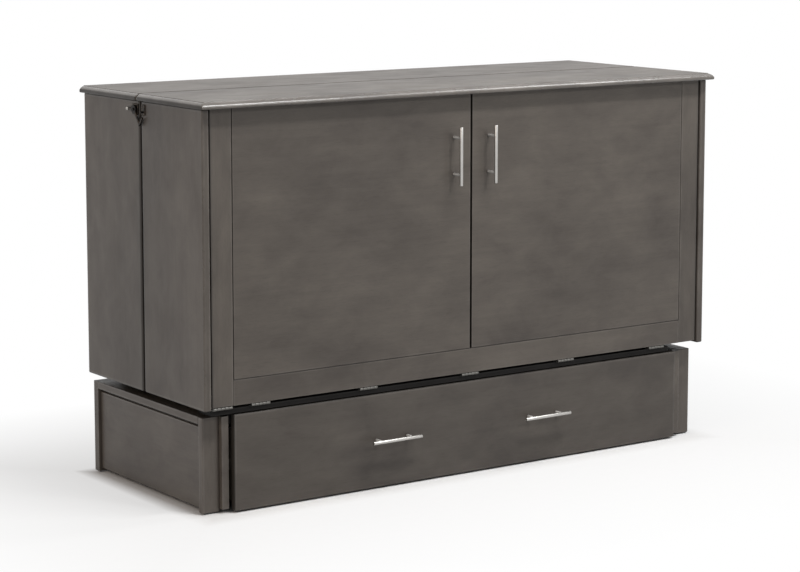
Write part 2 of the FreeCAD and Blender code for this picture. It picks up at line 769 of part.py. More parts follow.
def build_base_sides():
    """Base sides: stiles, rim, recessed panel and the drawer's guide board."""
    panel_span = (f"{PANEL_OUT} - base_panel_thickness", PANEL_OUT)
    rear_stile = f"{BASE_REAR} - base_rear_stile_depth"
    rear_stiles = []
    rims = []
    for side, word in ((-1, "left"), (1, "right")):
        front_stile = rounded_board(
            "base_front_stile_" + word,
            mirrored_pair(side, GUIDE_OUT, BASE_HALF),
            (BASE_FRONT, f"{BASE_FRONT} + base_stile_depth"),
            ("base_lift", "base_height"),
            "side_rounding",
            upright_front,
        )
        keep(front_stile, "base_front_stile_" + word)
        rear_stiles.append(
            box(
                "base_rear_stile_" + word,
                mirrored_pair(side, GUIDE_OUT, BASE_HALF),
                (rear_stile, BASE_REAR),
                ("base_lift", "base_height"),
            )
        )
        rims.append(
            box(
                "base_rim_" + word,
                mirrored_pair(side, GUIDE_OUT, BASE_HALF),
                (f"{BASE_FRONT} + base_stile_depth", rear_stile),
                ("base_height - rim_height", "base_height"),
            )
        )
        panel = box(
            "base_panel_" + word + "_board",
            mirrored_pair(side, *panel_span),
            (f"{BASE_FRONT} + base_stile_depth", rear_stile),
            ("base_panel_lift", "base_height - rim_height"),
        )
        groove = box(
            "base_panel_" + word + "_groove",
            mirrored_pair(side, f"{PANEL_OUT} - panel_rebate_depth", BASE_HALF),
            (BASE_FRONT, BASE_REAR),
            ("base_height - rim_height - panel_rebate_height", "base_height"),
        )
        panel = cut("base_panel_" + word + "_rebated", panel, [groove])
        label = "base_side_panel_" + word
        keep(bored_for_axles(label, panel, side), label)
        guide = box(
            "drawer_guide_" + word + "_board",
            mirrored_pair(side, GUIDE_IN, GUIDE_OUT),
            (GUIDE_FRONT, BASE_REAR),
            ("guide_lift", "base_height"),
        )
        label = "drawer_guide_" + word
        keep(bored_for_axles(label, guide, side), label)
    keep(group("base_rear_stiles", rear_stiles), "base_rear_stiles")
    keep(group("base_rims", rims), "base_rims")


def bored_for_axles(name, board, side):
    """Two bores in a side board, one for each wheel axle, as long as the axle."""
    span = mirrored_pair(side, GUIDE_IN, AXLE_OUT)
    bores = []
    for index in range(2):
        bores.append(
            rod(
                f"{name}_bore{index}",
                "x",
                "axle_radius",
                span[0],
                span[1],
                ((WHEEL_FRONT_Y, WHEEL_REAR_Y)[index], "wheel_radius"),
            )
        )
    return cut(name, board, bores)


def build_wheels():
    """Four wheels between guide and side panel, each on its own axle."""
    inner = GUIDE_IN
    outer = AXLE_OUT
    middle = f"(({GUIDE_OUT}) + ({PANEL_OUT} - base_panel_thickness)) / 2"
    axles = []
    for side, word in ((-1, "left"), (1, "right")):
        for index, end in enumerate(("front", "rear")):
            place_y = (WHEEL_FRONT_Y, WHEEL_REAR_Y)[index]
            span = mirrored_pair(side, inner, outer)
            axles.append(
                rod(f"axle_{end}_{word}", "x", "axle_radius", span[0], span[1],
                    (place_y, "wheel_radius"))
            )
            keep(wheel(f"wheel_{end}_{word}", side, middle, place_y),
                 f"wheel_{end}_{word}")
    keep(group("wheel_axles", axles), "wheel_axles")


def wheel(name, side, middle, place_y):
    """Wheel with a rounded tread, turned about its own axis and bored."""
    body = DOC.addObject("PartDesign::Body", name)
    sketch = body.newObject("Sketcher::SketchObject", name + "_outline")
    sketch.AttachmentSupport = [(origin_plane(body, "YZ_Plane"), "")]
    sketch.MapMode = "FlatFace"
    constraint = Sketcher.Constraint
    origin = FreeCAD.Vector(0, 0, 0)
    upward = FreeCAD.Vector(0, 0, 1)
    sketch.addGeometry(Part.Circle(origin, upward, size("wheel_radius")), False)
    sketch.addGeometry(Part.Circle(origin, upward, size("axle_radius")), False)
    sketch.addConstraint(constraint("Coincident", 0, 3, -1, 1))
    sketch.addConstraint(constraint("Coincident", 1, 3, -1, 1))
    for index, (label, text) in enumerate(
        (("tread", "wheel_radius"), ("bore", "axle_radius + pin_clearance"))
    ):
        first_guess = size("wheel_radius") / (1 + index)
        number = sketch.addConstraint(constraint("Radius", index, first_guess))
        sketch.renameConstraint(number, label)
        sketch.setExpression(f".Constraints.{label}", bound(text))
    pad = body.newObject("PartDesign::Pad", name + "_disc")
    pad.Profile = sketch
    pad.setExpression("Length", bound("wheel_width"))
    DOC.recompute()

    radius = size("wheel_radius")
    edges = [
        f"Edge{index}"
        for index, edge in enumerate(pad.Shape.Edges, start=1)
        if isinstance(edge.Curve, Part.Circle) and near(edge.Curve.Radius, radius)
    ]
    fillet = body.newObject("PartDesign::Fillet", name + "_rounding")
    fillet.Base = (pad, edges)
    fillet.setExpression("Radius", bound("wheel_tread"))
    place(body, f"{side} * {middle} - wheel_width / 2", place_y, "wheel_radius")
    return body


def build_base_frame():
    """Rails across the base, hinge batten, bearers and fixed deck slats."""
    rail = box(
        "front_rail",
        (f"-({GUIDE_IN})", GUIDE_IN),
        (RAIL_FRONT, f"{RAIL_FRONT} + front_rail_depth"),
        (f"{BATTEN_BOTTOM} - front_rail_height", BATTEN_BOTTOM),
    )
    keep(rail, "front_rail")
    batten = box(
        "hinge_batten",
        (f"batten_left_inset - {HALF}", f"{HALF} - batten_right_inset"),
        (BATTEN_FRONT, f"{BATTEN_FRONT} + batten_depth"),
        (BATTEN_BOTTOM, BATTEN_TOP),
    )
    keep(batten, "hinge_batten")
    rails = []
    for index in range(2):
        start = f"{RAIL_FRONT} + cross_rail_first + {index} * cross_rail_pitch"
        rails.append(
            box(
                f"cross_rail_{index}",
                (f"-({GUIDE_IN})", GUIDE_IN),
                (start, f"{start} + cross_rail_depth"),
                (f"{CROSS_TOP} - cross_rail_height", CROSS_TOP),
            )
        )
    keep(group("cross_rails", rails), "cross_rails")
    bearers = []
    for side, word in ((-1, "left"), (1, "right")):
        bearers.append(
            box(
                "bearer_" + word,
                mirrored_pair(side, f"{BEARER_OUT} - bearer_width", BEARER_OUT),
                (f"{BATTEN_FRONT} + batten_depth", f"{SEAM_FRONT} + bearer_past_seam"),
                (CROSS_TOP, SLAT_UNDER),
            )
        )
    keep(group("deck_bearers", bearers), "deck_bearers")
    slats = []
    for index in range(3):
        first = f"({FRONT} + deck_start)"
        pitch = f"({SEAM_FRONT} - deck_seam_room - slat_width - {first}) / 2"
        start = f"{first} + {index} * {pitch}"
        slats.append(
            box(
                f"deck_slat_{index}",
                (f"-{SLAT_END}", SLAT_END),
                (start, f"{start} + slat_width"),
                (SLAT_UNDER, DECK_TOP),
            )
        )
    keep(group("base_deck_slats", slats), "base_deck_slats")


def build_trays():
    """Two slatted decks, one under the other, that slide out of the cabinet."""
    for word, low in (("upper", UPPER_TRAY), ("lower", LOWER_TRAY)):
        top = f"{low} + tray_thickness"
        front = f"({FRONT} + tray_front)"
        rear = f"({BACK_INNER} - tray_rear_gap)"
        rails = []
        for side, hand in ((-1, "left"), (1, "right")):
            rails.append(
                box(
                    f"{word}_tray_rail_{hand}",
                    mirrored_pair(side, f"{TRAY_SIDE} - tray_rail", TRAY_SIDE),
                    (front, rear),
                    (low, top),
                )
            )
        slats = []
        for index in range(6):
            pitch = f"({rear} - tray_end_room - slat_width - {front}) / 5"
            start = f"{front} + {index} * {pitch}"
            slats.append(
                box(
                    f"{word}_tray_slat_{index}",
                    (f"-({TRAY_SIDE} - tray_rail)", f"{TRAY_SIDE} - tray_rail"),
                    (start, f"{start} + slat_width"),
                    (low, f"{top} - tray_slat_drop"),
                )
            )
        keep(group(f"{word}_sliding_deck", rails + slats), f"{word}_sliding_deck")


# Drawer ---------------------------------------------------------------------

def build_drawer():
    """Wide drawer: front board, box of four boards, runners in three members."""
    front_half = f"({GUIDE_IN} - drawer_side_gap)"
    front = rounded_board(
        "drawer_front",
        (f"-({front_half})", front_half),
        (DRAWER_FACE, DRAWER_BACK_OF_FRONT),
        ("drawer_front_bottom", DRAWER_TOP),
        "side_rounding",
        front_rim,
    )
    keep(front, "drawer_front")
    wall_span = (f"{BOX_HALF} - drawer_wall", BOX_HALF)
    for side, word in ((-1, "left"), (1, "right")):
        wall = box(
            "drawer_side_" + word,
            mirrored_pair(side, *wall_span),
            (DRAWER_BACK_OF_FRONT, BOX_REAR),
            ("drawer_box_bottom", DRAWER_BOX_TOP),
        )
        keep(wall, "drawer_side_" + word)
    inner = f"{BOX_HALF} - drawer_wall"
    back = box(
        "drawer_back",
        (f"-({inner})", inner),
        (f"{BOX_REAR} - drawer_wall", BOX_REAR),
        ("drawer_box_bottom", DRAWER_BOX_TOP),
    )
    keep(back, "drawer_back")
    floor_low = "drawer_box_bottom + drawer_groove"
    bottom = box(
        "drawer_bottom",
        (f"-({inner})", inner),
        (DRAWER_BACK_OF_FRONT, f"{BOX_REAR} - drawer_wall"),
        (floor_low, f"{floor_low} + drawer_floor"),
    )
    keep(bottom, "drawer_bottom")
    build_runners()


def build_runners():
    """Outer member on the guide, inner member on the drawer, middle between."""
    start = f"{DRAWER_BACK_OF_FRONT} + runner_front_gap"
    members = {"outer": [], "middle": [], "inner": []}
    spans = {
        "outer": (f"{GUIDE_IN} - runner_member", GUIDE_IN),
        "middle": (
            f"{BOX_HALF} + runner_space / 2 - runner_member / 2",
            f"{BOX_HALF} + runner_space / 2 + runner_member / 2",
        ),
        "inner": (BOX_HALF, f"{BOX_HALF} + runner_member"),
    }
    heights = {
        "outer": "runner_height",
        "middle": "runner_middle_height",
        "inner": "runner_inner_height",
    }
    for side, word in ((-1, "left"), (1, "right")):
        for kind, span in spans.items():
            half = f"{heights[kind]} / 2"
            members[kind].append(
                box(
                    f"runner_{kind}_{word}",
                    mirrored_pair(side, *span),
                    (start, f"{BOX_REAR} - runner_rear_gap"),
                    (f"runner_centre - {half}", f"runner_centre + {half}"),
                )
            )
    for kind, pair in members.items():
        keep(group(f"drawer_runner_{kind}", pair), f"drawer_runner_{kind}")


# Latches --------------------------------------------------------------------

PIVOT_Y = f"({SEAM_REAR} + latch_pivot_setback)"
KEEPER_Y = f"({SEAM_FRONT} - keeper_setback)"


def build_latches():
    """Lever latch on each side: plate and lever behind the seam, keeper ahead."""
    plates = []
    keepers = []
    for side, word in ((-1, "left"), (1, "right")):
        face = HALF
        plate_out = f"{HALF} + latch_plate_thickness"
        plate = box(
            "latch_plate_board_" + word,
            mirrored_pair(side, face, plate_out),
            (f"{PIVOT_Y} - latch_plate_length / 2", f"{PIVOT_Y} + latch_plate_length / 2"),
            (f"{LATCH_Z} - latch_plate_height / 2", f"{LATCH_Z} + latch_plate_height / 2"),
        )
        tip = f"{plate_out} + lever_clearance + latch_lever_thickness + latch_pivot_proud"
        pivot_span = mirrored_pair(side, face, tip)
        pivot = rod("latch_pivot_" + word, "x", "latch_pivot_radius", pivot_span[0],
                    pivot_span[1], (PIVOT_Y, LATCH_Z))
        plates.append(fuse("latch_plate_" + word, [plate, pivot]))
        keeper_board = box(
            "keeper_board_" + word,
            mirrored_pair(side, face, plate_out),
            (f"{KEEPER_Y} - keeper_plate_length / 2", f"{KEEPER_Y} + keeper_plate_length / 2"),
            (f"{LATCH_Z} - latch_plate_height / 2", f"{LATCH_Z} + latch_plate_height / 2"),
        )
        pin_span = mirrored_pair(side, face, tip)
        pin = rod("keeper_pin_" + word, "x", "keeper_radius", pin_span[0], pin_span[1],
                  (KEEPER_Y, f"{LATCH_Z} - keeper_drop"))
        keepers.append(fuse("latch_keeper_" + word, [keeper_board, pin]))
        keep(latch_lever("latch_lever_" + word, side), "latch_lever_" + word)
    keep(group("latch_plates", plates), "latch_plates")
    keep(group("latch_keepers", keepers), "latch_keepers")


def latch_lever(name, side):
    """Lever with hub, arm, ball and a crescent that reaches round the keeper.

    The crescent is a band of a circle about the pivot, just outside the
    keeper pin.  A web joins its trailing end to the hub.
    """
    pivot_y = size("handle_reach") / 2 - size("body_depth") / 2 + size("front_part_depth")
    pivot_y += size("seam_gap") + size("latch_pivot_setback")
    pivot_z = size("total_height") - size("top_thickness") - size("latch_drop")
    keeper_y = size("latch_pivot_setback") + size("seam_gap") + size("keeper_setback")
    thickness = size("latch_lever_thickness")
    keeper_distance = math.hypot(keeper_y, size("keeper_drop"))
    inner = keeper_distance + size("keeper_radius") + size("keeper_clearance")
    outer = inner + size("latch_hook_width")
    start = math.radians(size("latch_hook_start"))
    end = start + math.radians(size("latch_hook_sweep"))
    crescent = ring_sector(inner, outer, start, end, thickness)
    web_width = math.radians(size("latch_hook_sweep")) / 4
    web = ring_sector(
        size("latch_hub_radius") - size("keeper_clearance"),
        inner + size("keeper_clearance"),
        end - web_width,
        end,
        thickness,
    )
    axis = FreeCAD.Vector(1, 0, 0)
    hub = Part.makeCylinder(size("latch_hub_radius"), thickness, FreeCAD.Vector(0, 0, 0), axis)
    arm = Part.makeBox(
        thickness,
        size("latch_arm_length"),
        size("latch_arm_width"),
        FreeCAD.Vector(0, 0, -size("latch_arm_width") / 2),
    )
    ball = Part.makeSphere(
        size("latch_ball_radius"), FreeCAD.Vector(thickness / 2, size("latch_arm_length"), 0)
    )
    solid = hub.fuse([crescent, web, arm, ball]).removeSplitter()
    bore = Part.makeCylinder(
        size("latch_pivot_radius") + size("pin_clearance"),
        2 * thickness,
        FreeCAD.Vector(-thickness / 2, 0, 0),
        axis,
    )
    lever = DOC.addObject("Part::Feature", name)
    lever.Shape = solid.cut(bore)
    offset = size("body_width") / 2 + size("latch_plate_thickness") + size("lever_clearance")
    if side < 0:
        offset = -offset - thickness
    lever.Placement = FreeCAD.Placement(
        FreeCAD.Vector(offset, pivot_y, pivot_z), FreeCAD.Rotation()
    )
    return lever


def ring_sector(inner, outer, start, end, thickness):
    """Flat band of a ring in the YZ plane between two angles, given a thickness."""
    middle = (start + end) / 2

    def point(radius, angle):
        """Point on the circle of that radius at that angle from +Y."""
        return FreeCAD.Vector(0, radius * math.cos(angle), radius * math.sin(angle))

    edges = [
        Part.Arc(point(outer, start), point(outer, middle), point(outer, end)).toShape(),
        Part.makeLine(point(outer, end), point(inner, end)),
        Part.Arc(point(inner, end), point(inner, middle), point(inner, start)).toShape(),
        Part.makeLine(point(inner, start), point(outer, start)),
    ]
    face = Part.Face(Part.Wire(edges))
    return face.extrude(FreeCAD.Vector(thickness, 0, 0))


# Mattress -------------------------------------------------------------------

def build_mattress():
    """Three sections of a folding mattress, standing side by side."""
    front = size("handle_reach") / 2 - size("body_depth") / 2 + size("mattress_setback")
    for index, word in enumerate(("front", "middle", "rear")):
        section = DOC.addObject("Part::Feature", "mattress_" + word)
        section.Shape = mattress_section()
        start = front + index * (mattress_thickness() + size("mattress_gap"))
        section.Placement = FreeCAD.Placement(
            FreeCAD.Vector(0, start, deck_top() + size("soft_clearance")),
            FreeCAD.Rotation(),
        )
        keep(section, "mattress_" + word)


def deck_top():
    """Height of the deck slats' top, built up from the base."""
    trays = 2 * size("tray_thickness") + 3 * size("tray_gap")
    return size("base_height") + size("cross_rail_drop") + trays + size("slat_thickness")


def mattress_thickness():
    """A third of the room between the face's battens and the back panel."""
    room = size("body_depth") - size("back_thickness") - size("mattress_setback")
    room -= size("mattress_rear_room") + 2 * size("mattress_gap")
    return room / 3


def mattress_section():
    """Standing section: broad faces crowned, its narrow sides drawn in.

    It is a ruled loft through upright outlines from the left end to the right.
    With u from -1 to 1 across the bed, an outline's inset follows the square
    of u, plus an edge that falls away in a circle close to the ends.
    """
    half_width = size("body_width") / 2 - size("side_thickness") - size("mattress_side_room")
    thickness = mattress_thickness()
    tall = size("total_height") - size("top_thickness") - size("mattress_head_room")
    tall -= deck_top()
    crown = size("mattress_crown")
    pull = size("mattress_pull")
    edge = 3 * crown / half_width
    outlines = []
    for share in (-1, -1 + edge / 4, -1 + edge, -0.5, 0, 0.5, 1 - edge, 1 - edge / 4, 1):
        rest = max(0, (abs(share) - 1 + edge) / edge)
        fall = 1 - math.sqrt(1 - rest * rest)
        inset = crown / 2 * share * share + crown * fall
        outlines.append(
            rounded_outline(
                share * half_width,
                inset,
                thickness - inset,
                0,
                tall - pull * share * share - pull * fall,
                3 * crown,
            )
        )
    return Part.makeLoft(outlines, True, True)


def rounded_outline(across, y_low, y_high, z_low, z_high, radius):
    """Closed upright outline at one X, its four corners rounded."""
    corners = [
        (y_low, z_low, 1, 1),
        (y_high, z_low, -1, 1),
        (y_high, z_high, -1, -1),
        (y_low, z_high, 1, -1),
    ]
    edges = []
    last = None
    first = None
    slope = math.sqrt(0.5)
    for index, (y_at, z_at, y_in, z_in) in enumerate(corners):
        centre_y = y_at + y_in * radius
        centre_z = z_at + z_in * radius
        beside = FreeCAD.Vector(across, y_at, centre_z)
        under = FreeCAD.Vector(across, centre_y, z_at)
        start, end = (beside, under) if index % 2 == 0 else (under, beside)
        through = FreeCAD.Vector(
            across, centre_y - y_in * radius * slope, centre_z - z_in * radius * slope
        )
        if last is None:
            first = start
        else:
            edges.append(Part.makeLine(last, start))
        edges.append(Part.Arc(start, through, end).toShape())
        last = end
    edges.append(Part.makeLine(last, first))
    return Part.Wire(edges)


def write_parts():
    """Check every object and write one STEP file for each sub-part."""
    DOC.recompute()
    for thing in DOC.Objects:
        if "Invalid" in thing.State or "Error" in thing.State:
            raise RuntimeError(f"{thing.Name} did not build: {thing.State}")
    os.makedirs("parts", exist_ok=True)
    for node in NODES:
        shape = node.Shape
        if shape.isNull() or not shape.isValid():
            raise RuntimeError(f"{node.Label} has no valid shape")
        if not shape.Solids:
            raise RuntimeError(f"{node.Label} holds no solid")
        shape.exportStep(f"parts/{node.Label}.step")
    print(f"{len(NODES)} sub-parts written")


build_rear_half()
build_front_half()
build_handles()
build_hinges()
build_base_sides()
build_wheels()
build_base_frame()
build_trays()
build_drawer()
build_latches()
build_mattress()
write_parts()
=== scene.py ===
"""Looks of a cabinet bed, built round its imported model.

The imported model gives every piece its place.  Boards, moulded tops, handles,
hinges, latches, wheels, slatted decks and the folded mattress are made here as
surfaces worked out with numpy.  Each rides on the body of the piece it stands
for, and each takes a finish made of shader nodes.  Lengths are in metres: X to
the right, Y to the rear, Z up.
"""

from __future__ import annotations

import json
import logging
import math
from dataclasses import dataclass, field, replace
from enum import Enum, auto
from typing import Any, Mapping, Sequence

import bpy
import numpy as np
from numpy.typing import NDArray
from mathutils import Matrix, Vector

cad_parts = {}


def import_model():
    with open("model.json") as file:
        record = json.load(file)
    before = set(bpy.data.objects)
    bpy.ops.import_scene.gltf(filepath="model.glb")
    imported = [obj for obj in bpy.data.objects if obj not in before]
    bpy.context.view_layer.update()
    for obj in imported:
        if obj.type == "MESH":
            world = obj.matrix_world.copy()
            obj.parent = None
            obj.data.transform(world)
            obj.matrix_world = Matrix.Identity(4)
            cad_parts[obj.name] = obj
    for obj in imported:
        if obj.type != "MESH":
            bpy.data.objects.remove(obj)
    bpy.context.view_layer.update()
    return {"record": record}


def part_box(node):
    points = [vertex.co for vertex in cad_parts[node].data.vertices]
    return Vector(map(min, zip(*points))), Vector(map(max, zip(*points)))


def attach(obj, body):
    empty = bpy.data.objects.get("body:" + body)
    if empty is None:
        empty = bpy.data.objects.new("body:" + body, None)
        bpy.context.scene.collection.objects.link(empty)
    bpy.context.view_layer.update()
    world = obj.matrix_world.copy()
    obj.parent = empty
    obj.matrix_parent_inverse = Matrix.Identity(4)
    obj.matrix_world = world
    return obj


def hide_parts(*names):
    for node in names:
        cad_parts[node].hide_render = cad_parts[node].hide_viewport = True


LOG = logging.getLogger("cabinet_bed")
SEED = 4075
MM = 0.001

# Angles in degrees of the lattice lines that make a board's rounding.
ROUNDING = (45.0, 30.0, 15.0, 0.0)
# Darkening at an end is full over the first three eighths of its reach.  It
# stands for stain drunk into end grain, and for painted shade at seams and gaps.
END_DARKENING_SLOPE = 1.6
# Rings of a screw head, in shares of its radius.
SCREW_RINGS = (1.0, 0.98, 0.9, 0.8, 0.68, 0.58, 0.46, 0.34, 0.22, 0.1)
SCREW_SIDES = 32
# Cross recess of a screw, in shares of the head's radius and of its height.
CROSS_HALF_WIDTH = 0.2
CROSS_HALF_LENGTH = 0.62
CROSS_FADE = 0.08
CROSS_DEPTH = 0.7
# Range that nearly all values of a noise fall in.
NOISE_RANGE = (0.3, 0.7)

Floats = NDArray[np.float64]
Ints = NDArray[np.int64]
Point = tuple[float, float, float]
Colour = tuple[float, float, float]
Span = tuple[float, float]
Profile = Sequence[Span]

WHITE: Colour = (1.0, 1.0, 1.0)


class Named(Enum):
    """Choice whose word stands in the names of nodes and finishes."""

    @property
    def word(self) -> str:
        """The choice as it stands in a name."""
        return self.name.lower()


class Hand(Named):
    """Side of the bed.  Its value is the sign of X there."""

    LEFT = -1
    RIGHT = 1


class Grain(Named):
    """Direction that a board's grain runs in, as the number of its axis."""

    ACROSS = 0
    DEEP = 1
    UPRIGHT = 2


class Wood(Named):
    """Wood of a board, or the tone of its stain.  Some tones are darker or lighter
    copies of the stain that paint shade or light.
    """

    STAIN = auto()
    # Darker copy of STAIN for the drawer front: painted shade, darker low down.
    LOWER = auto()
    # Darker copy of STAIN for the tops: painted shade that holds back their strong
    # light.
    TOP = auto()
    # Lighter copy of STAIN for base stiles and drawer guides: painted light on parts
    # that stand in shade.
    PALE = auto()
    # Near-black stain for the front rail and hinge batten: painted shadow in the dark
    # gap under the body.
    DARK = auto()
    BOARD = auto()
    PINE = auto()


class Axis(Enum):
    """Axis that a turned or drawn piece lies along."""

    X = 0
    Y = 1
    Z = 2

    @property
    def across(self) -> tuple[int, int]:
        """Numbers of the two axes that follow this one in turn."""
        return ((self.value + 1) % 3, (self.value + 2) % 3)


# Surfaces --------------------------------------------------------------------


@dataclass
class Surface:
    """Closed surface of quads with a few flat caps.

    edge is 1 on rounded edges and 0 on open faces, for wear; on the mattress
    it marks the quilting channels, where shade is painted.  tip is 1 on end
    grain, and also on sides where shade is painted at a seam or gap.  shift is
    one number for the whole surface, so that two boards never share a grain.
    finish counts the piece's finishes from 0.
    """

    points: Floats
    quads: Ints
    caps: list[Ints] = field(default_factory=list)
    edge: Floats | None = None
    tip: Floats | None = None
    shift: float = 0.0
    finish: int = 0
    smooth: bool = True

    def moved(self, offset: Sequence[float]) -> Surface:
        """The same surface, moved by an offset."""
        return replace(self, points=self.points + np.asarray(offset, float))

    def soaked(self, axis: int, ends: Sequence[int], reach: float) -> Surface:
        """The same board darkened at chosen ends of an axis.

        The darkening stands for stain drunk into end grain, and for painted shade
        at seams and gaps.

        Args:
            axis: Number of the axis.
            ends: -1 for the low end, 1 for the high end, or both.
            reach: Distance from an end over which the mark fades out.

        Returns:
            The board.
        """
        place = self.points[:, axis]
        tip = np.zeros(len(place)) if self.tip is None else self.tip
        for end in ends:
            gap = place - place.min() if end < 0 else place.max() - place
            tip = np.maximum(tip, np.clip(END_DARKENING_SLOPE * (1 - gap / reach), 0, 1))
        return replace(self, tip=tip)

    def sawn(self, grain: Grain, reach: float) -> Surface:
        """The same board with its end grain marked."""
        return self.soaked(grain.value, (-1, 1), reach)

    def mirrored(self, axis: Axis) -> Surface:
        """The surface turned round across the middle of the frame.

        Args:
            axis: Axis that is turned round.

        Returns:
            The mirrored surface, its faces still outwards.
        """
        sign = np.ones(3)
        sign[axis.value] = -1
        caps = [cap[::-1] for cap in self.caps]
        return replace(
            self, points=self.points * sign, quads=self.quads[:, ::-1], caps=caps
        )


def leaning(radius: float, angles: Sequence[float]) -> Floats:
    """Distances from a box's end that a projection to the rounding spaces evenly.

    Args:
        radius: Rounding radius.
        angles: Angles of the points on the rounding, in degrees.

    Returns:
        The radius times one minus the tangent of each angle.
    """
    return radius * (1 - np.tan(np.radians(angles)))


def rounding_lines(low: float, high: float, radius: float, band: float) -> Floats:
    """Lattice lines of one axis of a rounded box.

    One more line a little further in than the rounding's keeps shading and
    wear near the edge.

    Args:
        low: Lower end of the box on this axis.
        high: Upper end.
        radius: Rounding radius.
        band: Width of the worn band beside the rounding.

    Returns:
        The lines, rising.
    """
    spare = (high - low) / 2 - radius
    inward = radius + min(band, spare / 2)
    start = np.concatenate([low + leaning(radius, ROUNDING), [low + inward]])
    return np.concatenate([start, (low + high - start)[::-1]])


def box_lattice(lines: Sequence[Floats]) -> tuple[Floats, Ints, Ints]:
    """Skin of a box on a lattice of three sets of lines.

    A lattice point lies on the skin where any of its three numbers is the
    first or the last, and each of the six sides is a grid of quads.

    Args:
        lines: Lattice lines along X, Y and Z.

    Returns:
        Skin points, quads facing outwards, and each point's lattice numbers.
    """
    counts = [len(row) for row in lines]
    grid = np.stack(np.meshgrid(*[np.arange(c) for c in counts], indexing="ij"), -1)
    on_skin = ((grid == 0) | (grid == np.array(counts) - 1)).any(-1)
    number = np.full(counts, -1)
    number[on_skin] = np.arange(on_skin.sum())
    index = grid[on_skin]
    points = np.stack([lines[axis][index[:, axis]] for axis in range(3)], -1)
    quads = []
    for axis in range(3):
        for end in (0, -1):
            side = np.take(number, end, axis=axis)
            loop = np.stack(
                [side[:-1, :-1], side[1:, :-1], side[1:, 1:], side[:-1, 1:]], -1
            ).reshape(-1, 4)
            outward = (end == -1) != (axis == 1)
            quads.append(loop if outward else loop[:, ::-1])
    return points, np.concatenate(quads), index


def rounded_skin(
    lines: Sequence[Floats], low: Floats, high: Floats, radius: float
) -> tuple[Floats, Floats, Ints, Ints]:
    """Skin of a box with all its edges rounded.

    With c the lattice point clamped to the box less the radius, a point is c
    plus the radius times the unit vector from c to the lattice point.

    Args:
        lines: Lattice lines along X, Y and Z.
        low: Lowest corner.
        high: Highest corner.
        radius: Rounding radius.

    Returns:
        Points, their unit vectors, quads, and each point's lattice numbers.
    """
    points, quads, index = box_lattice(lines)
    centre = np.clip(points, low + radius, high - radius)
    away = points - centre
    away /= np.linalg.norm(away, axis=1, keepdims=True)
    return centre + radius * away, away, quads, index


def rounded_box(
    low: Sequence[float], high: Sequence[float], radius: float, band: float = 4 * MM
) -> Surface:
    """Board with all its edges rounded.

    Args:
        low: Lowest corner.
        high: Highest corner.
        radius: Rounding radius, held to a third of the thinnest side.
        band: Width of the worn band beside the rounding.

    Returns:
        The board.
    """
    low_at, high_at = np.asarray(low, float), np.asarray(high, float)
    bend = min(radius, float((high_at - low_at).min()) / 3)
    lines = [rounding_lines(a, b, bend, band) for a, b in zip(low_at, high_at)]
    points, _, quads, index = rounded_skin(lines, low_at, high_at, bend)
    last = np.array([len(row) - 1 for row in lines])
    in_zone = (index < len(ROUNDING)) | (index > last - len(ROUNDING))
    return Surface(points, quads, edge=(in_zone.sum(1) >= 2).astype(float))


def laid_out(axis: Axis, along: Floats, first: Floats, second: Floats) -> Floats:
    """Points made of their distances along an axis and across it.

    Args:
        axis: The axis.
        along: Distances along it.
        first: Distances along the axis that follows it.
        second: Distances along the axis after that.

    Returns:
        The points, with X, Y and Z last.
    """
    points = np.zeros((*np.broadcast_shapes(along.shape, first.shape), 3))
    points[..., axis.value] = along
    points[..., axis.across[0]] = first
    points[..., axis.across[1]] = second
    return points


def full_turn(count: int) -> Floats:
    """Angles evenly spaced round a circle.

    Args:
        count: How many.

    Returns:
        The angles, from 0.
    """
    return np.linspace(0, 2 * math.pi, count, endpoint=False)


def stacked(
    rings: Floats,
    edge: Floats | None = None,
    capped: bool = True,
    closed: bool = False,
) -> Surface:
    """Skin through a row of rings with the same number of points each.

    Quad (i, j) joins points j and j + 1 of rings i and i + 1.  A ring runs
    anticlockwise as seen from the end of the row.

    Args:
        rings: Points, an array of ring, point and coordinate.
        edge: Wear of each ring.
        capped: Whether the two end rings are closed with flat faces.
        closed: Whether the last ring joins the first instead.

    Returns:
        The skin.
    """
    count, around = rings.shape[:2]
    number = np.arange(count * around).reshape(count, around)
    here = number if closed else number[:-1]
    there = np.roll(number, -1, axis=0) if closed else number[1:]
    quads = np.stack(
        [here, np.roll(here, -1, 1), np.roll(there, -1, 1), there], -1
    ).reshape(-1, 4)
    caps = [number[0][::-1], number[-1]] if capped and not closed else []
    worn = None if edge is None else np.repeat(edge, around)
    return Surface(rings.reshape(-1, 3), quads, caps, worn)


def turned(
    profile: Profile,
    axis: Axis,
    centre: Sequence[float],
    sides: int = 32,
    hollow: bool = False,
) -> Surface:
    """Piece turned on a lathe.

    A profile point at distance d with radius r gives the ring centre + d along
    the axis, plus r (cos a, sin a) across it for angles a all the way round.

    Args:
        profile: Distance along the axis and radius of each ring.
        axis: The lathe's axis.
        centre: Where distance 0 lies.
        sides: Points of a ring.
        hollow: Whether the profile is a closed loop, as for a wheel's rim.

    Returns:
        The turned surface.
    """
    shape = np.asarray(profile, float)
    away, size, turn = shape[:, :1], shape[:, 1:], full_turn(sides)
    rings = laid_out(axis, away, size * np.cos(turn), size * np.sin(turn))
    return stacked(rings + np.asarray(centre, float), capped=not hollow, closed=hollow)


def rod(length: float, radius: float, ease: Profile) -> Profile:
    """Profile of a rod with both ends eased alike.

    Args:
        length: Length of the rod.
        radius: Its radius.
        ease: For each ring of an end, inwards, its distance from the end and
            how much thinner than the rod it is.

    Returns:
        Distance and radius of each ring.
    """
    start = [(away, radius - less) for away, less in ease]
    return [*start, *[(length - away, size) for away, size in reversed(start)]]


